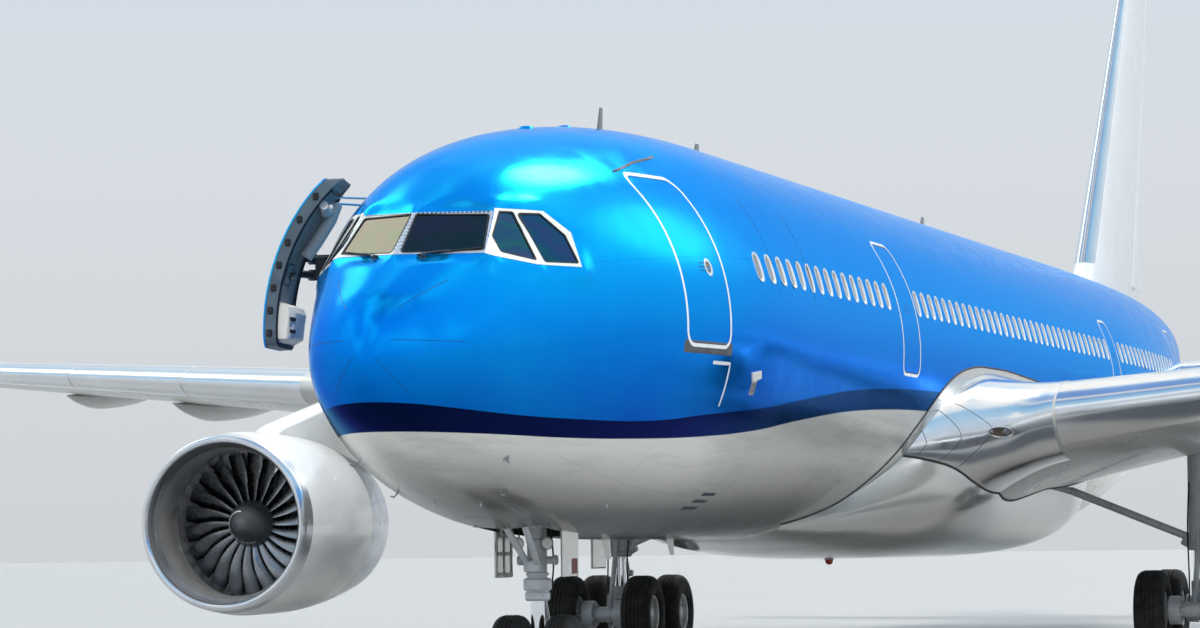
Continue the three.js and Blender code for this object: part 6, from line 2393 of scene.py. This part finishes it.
def hose(points, radius=0.012):
    last = len(points) - 1
    curve = [spline(range(len(points)), [p[k] for p in points]) for k in range(3)]
    path = [[float(c(t)) for c in curve] for t in np.linspace(0, last, 8 * len(points))]
    return sweep(path, radius, 8)


NOSE_SPLIT, NOSE_KNEE, NOSE_PIVOT = -3.48, -3.85, -2.05
NOSE_BAY_HALF = 0.427


def nose_at(height, side=0.0, aft=0.0):
    return side, NOSE_GEAR["station"] + aft, height


def build_nose_leg():
    at, split, roof, half = nose_at, NOSE_SPLIT, NOSE_PIVOT, NOSE_BAY_HALF
    upper = [
        rod(at(split + FIT), at(roof - 0.25), 0.13, 40),
        rod(at(roof - 0.3, -half), at(roof - 0.3, half), 0.075, 32),
        rod(at(roof - 0.42, -half, -1.18), at(roof - 0.42, half, -1.18), 0.05),
        rod(at(split + FIT), at(split + 0.17), 0.185, 40),
        rod(at(split + 0.2), at(split + 0.24), 0.15, 40),
        rod(at(split + 0.62), at(split + 0.68), 0.145, 40),
        box(at(split + 0.33, 0, -0.19), (0.23, 0.13, 0.17), 0.02),
        rod(at(split + 0.4, -0.26, 0.02), at(split + 0.4, 0.26, 0.02), 0.05, 24),
    ]
    for s in (-1, 1):
        upper.append(rod(at(roof - 0.42, s * 0.15, -1.18), at(split + 0.26, s * 0.06, -0.06), 0.045))
        upper.append(rod(at(split + 0.4, s * 0.27, 0.02), at(split + 0.4, s * 0.2, 0.02), 0.065, 24))
    make("nose_leg", joined(upper), GEAR_PAINT, replaces=["nose_gear_leg"], slot="gear_paint")


def build_nose_lower_leg(axle):
    at, split, knee = nose_at, NOSE_SPLIT, NOSE_KNEE
    lower = [
        rod(at(split - 0.13), at(split - 0.004), 0.165, 40),
        rod(at(axle, -0.11), at(axle, 0.11), 0.12, 40),
        box(at(axle, 0, -0.095), (0.12, 0.19, 0.11), 0.02),
        rod(at(knee, -0.06, 0.33), at(knee, 0.06, 0.33), 0.036),
        rod(at(axle, 0, -0.17), at(axle, 0, -0.14), 0.05),
    ]
    for s in (-1, 1):
        lower.append(rod(at(split - 0.09, s * 0.05, 0.13), at(knee, s * 0.035, 0.33), 0.03))
        lower.append(rod(at(knee, s * 0.035, 0.33), at(axle + 0.09, s * 0.05, 0.09), 0.03))
    make(
        "nose_lower_leg", joined(lower), GEAR_PAINT, body="nose_steering",
        replaces=["nose_gear_lower_leg"], slot="gear_paint",
    )
    make("nose_piston", rod(at(axle + 0.06), at(split - 0.1), 0.09, 40), CHROME, body="nose_steering")


def build_nose_lamps_and_hoses():
    at, split, roof = nose_at, NOSE_SPLIT, NOSE_PIVOT
    level = split + 0.62
    cases, glasses, hoses = [], [], []
    for s in (-1, 1):
        front = at(level, s * 0.2, -0.2)
        cases.append(rod(front, at(level, s * 0.2, -0.12), 0.085, 32, 0.05))
        glasses.append(turned([(0, 0.07), (0.006, 0.065), (0.01, 0.04)], front, at(level, s * 0.2, -1), 32))
        hoses.append(hose([
            at(roof - 0.3, s * 0.11, 0.12), at(split + 0.7, s * 0.15, 0.16),
            at(split + 0.35, s * 0.16, 0.2), at(split + 0.1, s * 0.14, 0.19),
        ]))
    path = [at(roof - 0.2, -0.2, -0.5), at(roof - 0.5, -0.17, -0.32), at(split + 0.68, -0.2, -0.14)]
    make("nose_lamps", joined(cases), STEEL)
    make("nose_lamp_glass", joined(glasses), LAMP)
    make("nose_hoses", joined([*hoses, hose(path, 0.01)]), BLACK)


def build_nose_gear():
    axle = NOSE_GEAR["tyre"] - AXIS_HEIGHT
    build_nose_leg()
    build_nose_lower_leg(axle)
    build_nose_lamps_and_hoses()
    tyres = [("nose_tyre_right", -1), ("nose_tyre_left", 1)]
    station = NOSE_GEAR["station"]
    wheel_set("nose", NOSE_GEAR, 0, station, axle, "nose_wheels", tyres, "nose_wheels", pair=False)


NOSE_DOOR = dict(side=0.4508, middle=6.64, long=0.7, deep=0.62, thick=0.036)


def build_nose_doors():
    """The small doors beside the nose leg: a painted panel, a frame inside and two hinge arms."""
    long, deep, thick = (NOSE_DOOR[k] for k in ("long", "deep", "thick"))
    side, station = NOSE_DOOR["side"], NOSE_DOOR["middle"]
    height = outline(NOSE_GEAR["station"])[2] - deep / 2 + 0.08
    panel = box((side + 0.006, station, height), (thick - 0.012, long, deep), 0.01)
    make_pair("nose_door_panel", panel, BELLY_PAINT, replaces=["nose_gear_door"], slot="white_paint")
    inner, frame = side - 0.012, []
    for s in (-1, 0, 1):
        bar = (inner, station, height + s * (deep / 2 - 0.04))
        frame.append(box(bar, (0.014, long - 0.02, 0.05), 0.005))
        post = (inner, station + s * (long / 2 - 0.04), height)
        frame.append(box(post, (0.014, 0.05, deep - 0.02), 0.005))
    for s in (-1, 1):
        arm = (side - 0.035, station + s * 0.2, height + deep / 2 - 0.03)
        frame.append(box(arm, (0.05, 0.05, 0.14), 0.012))
    make_pair("nose_door_frame", joined(frame), BAY_PAINT)
    block = box((side + 0.0185, station + 0.16, height - 0.17), (0.002, 0.26, 0.2), 0.0005)
    make_pair("nose_door_block", block, DARK_RED)


# Rings about the bogie's axles: start, end, inner and outer radius, and sides
BOGIE_EYE = (-0.115, 0.115, 0.076, 0.14, 48)
BRAKE_DISC = (0.2, 0.4, 0.085, 0.25, 48)
AXLE_SLEEVE = (0.115, 0.21, 0.082, 0.12, 32)
BRAKE_PISTONS = 7


def main_at(height, side=0.0, aft=0.0):
    return MAIN_GEAR["span"] + side, MAIN_GEAR["station"] + aft, height


def axle_ring(row, axle, aft, way):
    start, end, inner, outer, sides = row
    profile = [(start, inner), (start, outer), (end, outer), (end, inner)]
    return ring_turned(profile, main_at(axle, 0, aft), main_at(axle, way, aft), sides)


def build_bogie(axle):
    at = main_at
    beam = [
        box(at(axle), (0.23, BOGIE_SPACING - 0.1, 0.2), 0.05),
        rod(at(axle + 0.11), at(axle + 0.25), 0.15, 40),
    ]
    for aft in (-BOGIE_SPACING / 2, BOGIE_SPACING / 2):
        beam.append(axle_ring(BOGIE_EYE, axle, aft, 1))
        for s in (-1, 1):
            beam += [axle_ring(row, axle, aft, s) for row in (BRAKE_DISC, AXLE_SLEEVE)]
            for k in range(BRAKE_PISTONS):
                angle = 2 * math.pi * k / BRAKE_PISTONS
                place, up = aft + 0.19 * math.cos(angle), axle + 0.19 * math.sin(angle)
                beam.append(rod(at(up, s * 0.17, place), at(up, s * 0.21, place), 0.035, 16))
    make_pair("bogie", joined(beam), GEAR_PAINT, replaces=["bogie_beam"], slot="gear_paint")


def build_main_leg(axle, foot):
    at = main_at
    leg = [
        rod(at(-1.2), at(-3.05), 0.2, 48),
        rod(at(-3.1), at(-2.98), 0.22, 48),
        rod(at(foot + 0.26), at(foot), 0.17, 40),
        rod(at(-2.95), at(-1.95, -2.45), 0.07, 24),
        rod(at(-3.0, -0.12), at(-2.9, -0.3), 0.1, 24),
        rod(at(-2.9, 0, 0.19), at(-3.4, 0, 0.48), 0.05, 20),
        rod(at(-3.4, 0, 0.48), at(foot + 0.12, 0, 0.12), 0.05, 20),
        rod(at(-3.4, -0.1, 0.48), at(-3.4, 0.1, 0.48), 0.06, 20),
        rod(at(-2.9, -0.14, 0.19), at(-2.9, 0.14, 0.19), 0.06, 20),
        box(at(-2.6, 0.21), (0.42, 0.11, 0.11), 0.02),
        box(at(-2.1, 0.21), (0.42, 0.09, 0.09), 0.02),
        rod(at(-2.75, 0, -0.2), at(axle + 0.3, 0, -0.62), 0.045, 20),
        rod(at(axle + 0.36, 0, -0.66), at(axle + 0.1, 0, -0.72), 0.06, 20),
    ]
    make_pair("main_leg", joined(leg), GEAR_PAINT, replaces=["main_gear_leg"], slot="gear_paint")
    make_pair("main_piston", rod(at(-3.04), at(foot + 0.2), 0.13, 48), CHROME)
    make_pair("main_leg_door", box(at(-2.56, 0.42), (0.045, 0.9, 1.5), 0.02), BELLY_PAINT)
    hoses = []
    for s in (-1, 1):
        top = [at(-1.9, s * 0.16, -0.14), at(-2.7, s * 0.2, -0.12), at(-3.3, s * 0.18, -0.2)]
        hoses.append(hose([*top, at(foot + 0.1, s * 0.19, -0.1), at(axle + 0.15, s * 0.14, s * 0.5)], 0.014))
    make_pair("main_hoses", joined(hoses), BLACK)


def build_main_gear():
    axle = MAIN_GEAR["tyre"] - AXIS_HEIGHT
    build_bogie(axle)
    build_main_leg(axle, axle + 0.25 + FIT)
    for place, sign in (("front", -1), ("rear", 1)):
        station = MAIN_GEAR["station"] + sign * BOGIE_SPACING / 2
        tyres = [(f"main_tyre_{place}_inner", -1), (f"main_tyre_{place}_outer", 1)]
        names = f"main_{place}", f"wheels_{place}", f"main_wheels_{place}"
        wheel_set(names[0], MAIN_GEAR, MAIN_GEAR["span"], station, axle, names[1], tyres, names[2])


build_fuselage()
build_wipers()
build_door_marks()
build_porthole(DOOR_PORTHOLE, port, "port_door_porthole")
build_open_door()
build_doorway()
build_bays()
build_fittings()
build_wing_fittings()
build_belly_fairing()
build_root_edge()
build_wings()
build_fin()
build_stabiliser()
build_engines()
build_nose_gear()
build_nose_doors()
build_main_gear()


# Floor, light and camera

FLOOR_TONES = [(0.3, (0.375, 0.375, 0.37)), (0.7, (0.39, 0.39, 0.385))]
FLOOR_REACH = 400


def build_stage():
    ground = Graph("floor", Roughness=0.55)
    ground.set("Base Color", ground.ramp(ground.noise(0.11, 3), FLOOR_TONES))
    mesh = bpy.data.meshes.new("floor")
    corners = [(x * FLOOR_REACH, y * FLOOR_REACH, 0) for x, y in ((-1, -1), (1, -1), (1, 1), (-1, 1))]
    mesh.from_pydata(corners, [], [(0, 1, 2, 3)])
    mesh.materials.append(ground.material)
    linked("floor", mesh)
    build_world()


# Studio sky by the sine of the elevation: a plain pale backdrop below and soft light above
BACKDROP = [(0.0, (0.7, 0.72, 0.74)), (0.1, (0.76, 0.81, 0.86)), (0.2, (0.66, 0.78, 0.92))]
SKY = [
    (0.42, (0.56, 0.8, 1.0)), (0.72, (0.36, 0.68, 1.0)), (0.9, (0.2, 0.42, 0.78)), (1.0, (0.05, 0.15, 0.34)),
]
CLOUD = (1.25, 1.24, 1.2)
CLOUDS_FROM, CLOUDS_FULL = 0.2, 0.4
SKY_STRENGTH = 0.9
# Soft boxes that the glossy paint and the glass mirror: direction, spread, brightness
SOFT_BOXES = [
    ((-0.6, 0.55, 0.57), 0.982, 0.993, (3.1, 3.1, 2.3)),
    ((0.12, 0.72, 0.68), 0.992, 0.9985, (40.0, 38.0, 36.0)),
    ((0.06, 0.31, 0.95), 0.955, 0.985, (0.22, 0.42, 0.85)),
    ((0.45, 0.78, 0.44), 0.985, 0.995, (2.4, 2.5, 2.6)),
]


def build_world():
    world = bpy.data.worlds.new("studio")
    bpy.context.scene.world = world
    world.use_nodes = True
    g = Nodes(world.node_tree)
    where = g.add("ShaderNodeTexCoord").outputs["Generated"]
    rise = g.add("ShaderNodeSeparateXYZ", {0: where}).outputs["Z"]
    sky = g.ramp(rise, [*BACKDROP, *SKY])
    cloud = g.cloud(where, 2.1, 6.0, 0.55)
    share = g.math("MULTIPLY", g.span(cloud, 0.46, 0.62), g.span(rise, CLOUDS_FROM, CLOUDS_FULL))
    sky = g.mix(share, sky, CLOUD)
    for way, outer, inner, color in SOFT_BOXES:
        aim = Vector(way).normalized()
        near = g.add("ShaderNodeVectorMath", {0: where, 1: aim}, operation="DOT_PRODUCT").outputs["Value"]
        sky = g.mix(g.span(near, outer, inner), sky, color)
    background = g.tree.nodes["Background"]
    g.feed(background.inputs["Color"], sky)
    g.feed(background.inputs["Strength"], SKY_STRENGTH)


# Suns: direction that they stand in, strength and spread in degrees
SUNS = {"key": ((0.35, -0.75, 0.75), 2.6, 12), "back": ((-0.6, 0.6, 0.7), 0.8, 40)}
SUN_COLOR = (1.0, 0.95, 0.86)


def build_lights():
    for name, (way, power, spread) in SUNS.items():
        data = bpy.data.lights.new(name, "SUN")
        data.energy = power
        data.color = SUN_COLOR
        data.angle = math.radians(spread)
        light = linked(name, data)
        light.rotation_euler = (-Vector(way)).to_track_quat("-Z", "Y").to_euler()
        light.visible_glossy = False


# The camera stands at eye height ahead of the port side of the nose. Real metres and radians
CAMERA_PLACE = (16.598, -46.357, -2.922)
CAMERA_YAW = 0.2879
CAMERA_PITCH = 0.0548
CAMERA_ROLL = -0.0124
CAMERA_LENS = 127.6


def build_camera():
    data = bpy.data.cameras.new("camera")
    data.lens = CAMERA_LENS
    data.sensor_width = 36
    data.clip_end = 2000
    turn = (
        Matrix.Rotation(CAMERA_YAW, 4, "Z")
        @ Matrix.Rotation(math.pi / 2 + CAMERA_PITCH, 4, "X")
        @ Matrix.Rotation(CAMERA_ROLL, 4, "Z")
    )
    camera = linked("camera", data)
    camera.matrix_world = Matrix.Translation(TO_FRAME @ Vector(CAMERA_PLACE)) @ turn
    bpy.context.scene.camera = camera


build_stage()
build_lights()
build_camera()
bpy.context.scene.view_settings.view_transform = "Standard"
